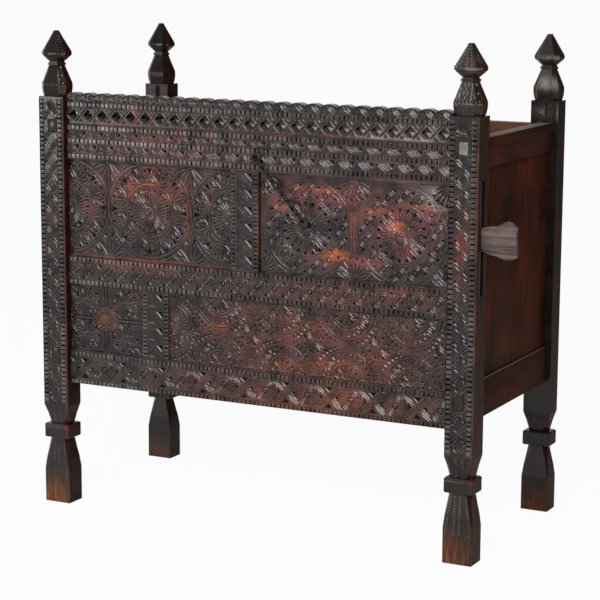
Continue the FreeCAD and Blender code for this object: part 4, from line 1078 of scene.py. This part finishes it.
tail_mesh, shape = cad_shape("sliding_door")
everything = shape.verts[:] + shape.edges[:] + shape.faces[:]
bmesh.ops.bisect_plane(shape, geom=everything, plane_co=(0.5035, 0, 0), plane_no=(1, 0, 0), clear_inner=True)
bmesh.ops.holes_fill(shape, edges=[edge for edge in shape.edges if edge.is_boundary], sides=0)
ease(tail_mesh, shape, [edge for edge in shape.edges if len(edge.link_faces) == 2
                        and edge.calc_face_angle(0) > math.radians(50)], 1.8)
tail_wood = plain_wood("bare_handle_wood", "X", "#171110", "#6A5B57", 0.5, 0.2)
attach(finished("door_fish_tail", tail_mesh, tail_wood, "plain_wood", "sliding_door"), "door")

# Iron work: a hand-made nail in the door, a chain of forged links on it, and the staple on the rail.
# All of it is blackened iron, round wire bent hot and closed by eye.

iron, tree = new_material("blackened_forged_iron")
# Forged iron: black scale with a soft grey glint where it is rubbed
place = node(tree, "TexCoord").outputs["Object"]
scale = node(tree, "TexNoise", {"Vector": place, "Scale": 500.0, "Detail": 3.0})
gloss = node(tree, "MapRange", (scale, 0.3, 0.7, 0.35, 0.6))
relief = node(tree, "Bump", {"Height": scale, "Strength": 0.4, "Distance": 0.0004})
surface = node(tree, "BsdfPrincipled", {"Base Color": linear("#2B2725"), "Metallic": 0.85,
                                        "Roughness": gloss, "Normal": relief})
node(tree, "OutputMaterial", {"Surface": surface})

nail_x, nail_z = 102.6, 732.0
chain_angle = math.atan2(145.0, -126.6)
chain_off = 7.2
# Along the chain is X, out of the door is minus Y
chain_place = Matrix.Translation((nail_x, chest_front, nail_z)) @ Matrix.Rotation(-chain_angle, 4, "Y")


def wire_ring(shape, radius, wire, straight, matrix, sections=24, sides=10):
    # A ring of round wire in its own XZ plane, drawn out along X by the straight part
    made = bmesh.ops.create_circle(shape, cap_ends=False, segments=sides, radius=wire)
    bmesh.ops.translate(shape, verts=made["verts"], vec=(radius, 0, 0))
    first = math.radians(180 / sections)
    bmesh.ops.rotate(shape, verts=made["verts"], cent=(0, 0, 0), matrix=Matrix.Rotation(first, 3, "Y"))
    edges = list({edge for vert in made["verts"] for edge in vert.link_edges})
    before = set(shape.verts) - set(made["verts"])
    bmesh.ops.spin(shape, geom=made["verts"] + edges, cent=(0, 0, 0), axis=(0, 1, 0), angle=math.tau,
                   steps=sections, use_merge=True)
    own = [vert for vert in shape.verts if vert not in before]
    for vert in own:
        vert.co.x += math.copysign(straight, vert.co.x)
    bmesh.ops.transform(shape, matrix=matrix, verts=own)


chain_mesh = bpy.data.meshes.new("lock_chain_iron")
shape = bmesh.new()
wire_ring(shape, 10.9, 2.3, 0, Matrix.Translation((4.8, chain_off, 0)))
link_start, link_length, link_step = 9.3, 26.99, 19.09
for number in range(9):
    middle = link_start + link_step * number + link_length / 2
    turn = Matrix.Identity(4) if number % 2 else Matrix.Rotation(math.radians(90), 4, "X")
    wire_ring(shape, 4.5, 1.9, 7.09, Matrix.Translation((middle, chain_off, 0)) @ turn, 18)
flattened = Matrix.Diagonal((1, 0.5, 1, 1))
wire_ring(shape, 10.5, 3.5, 0, Matrix.Translation((192.49, chain_off, 0)) @ flattened, 28)
bmesh.ops.transform(shape, matrix=chain_place, verts=shape.verts)
bmesh.ops.scale(shape, verts=shape.verts, vec=(0.001, 0.001, 0.001))
bmesh.ops.recalc_face_normals(shape, faces=shape.faces)
shape.to_mesh(chain_mesh)
shape.free()
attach(finished("lock_chain_iron", chain_mesh, iron, "iron", "lock_chain"), "chain")

for cad, body in (("door_nail", "door"), ("rail_staple", "carcass")):
    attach(sawn_board(cad, iron, "iron", 0.4), body)

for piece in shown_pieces():
    if piece.parent is None:
        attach(piece, "carcass")
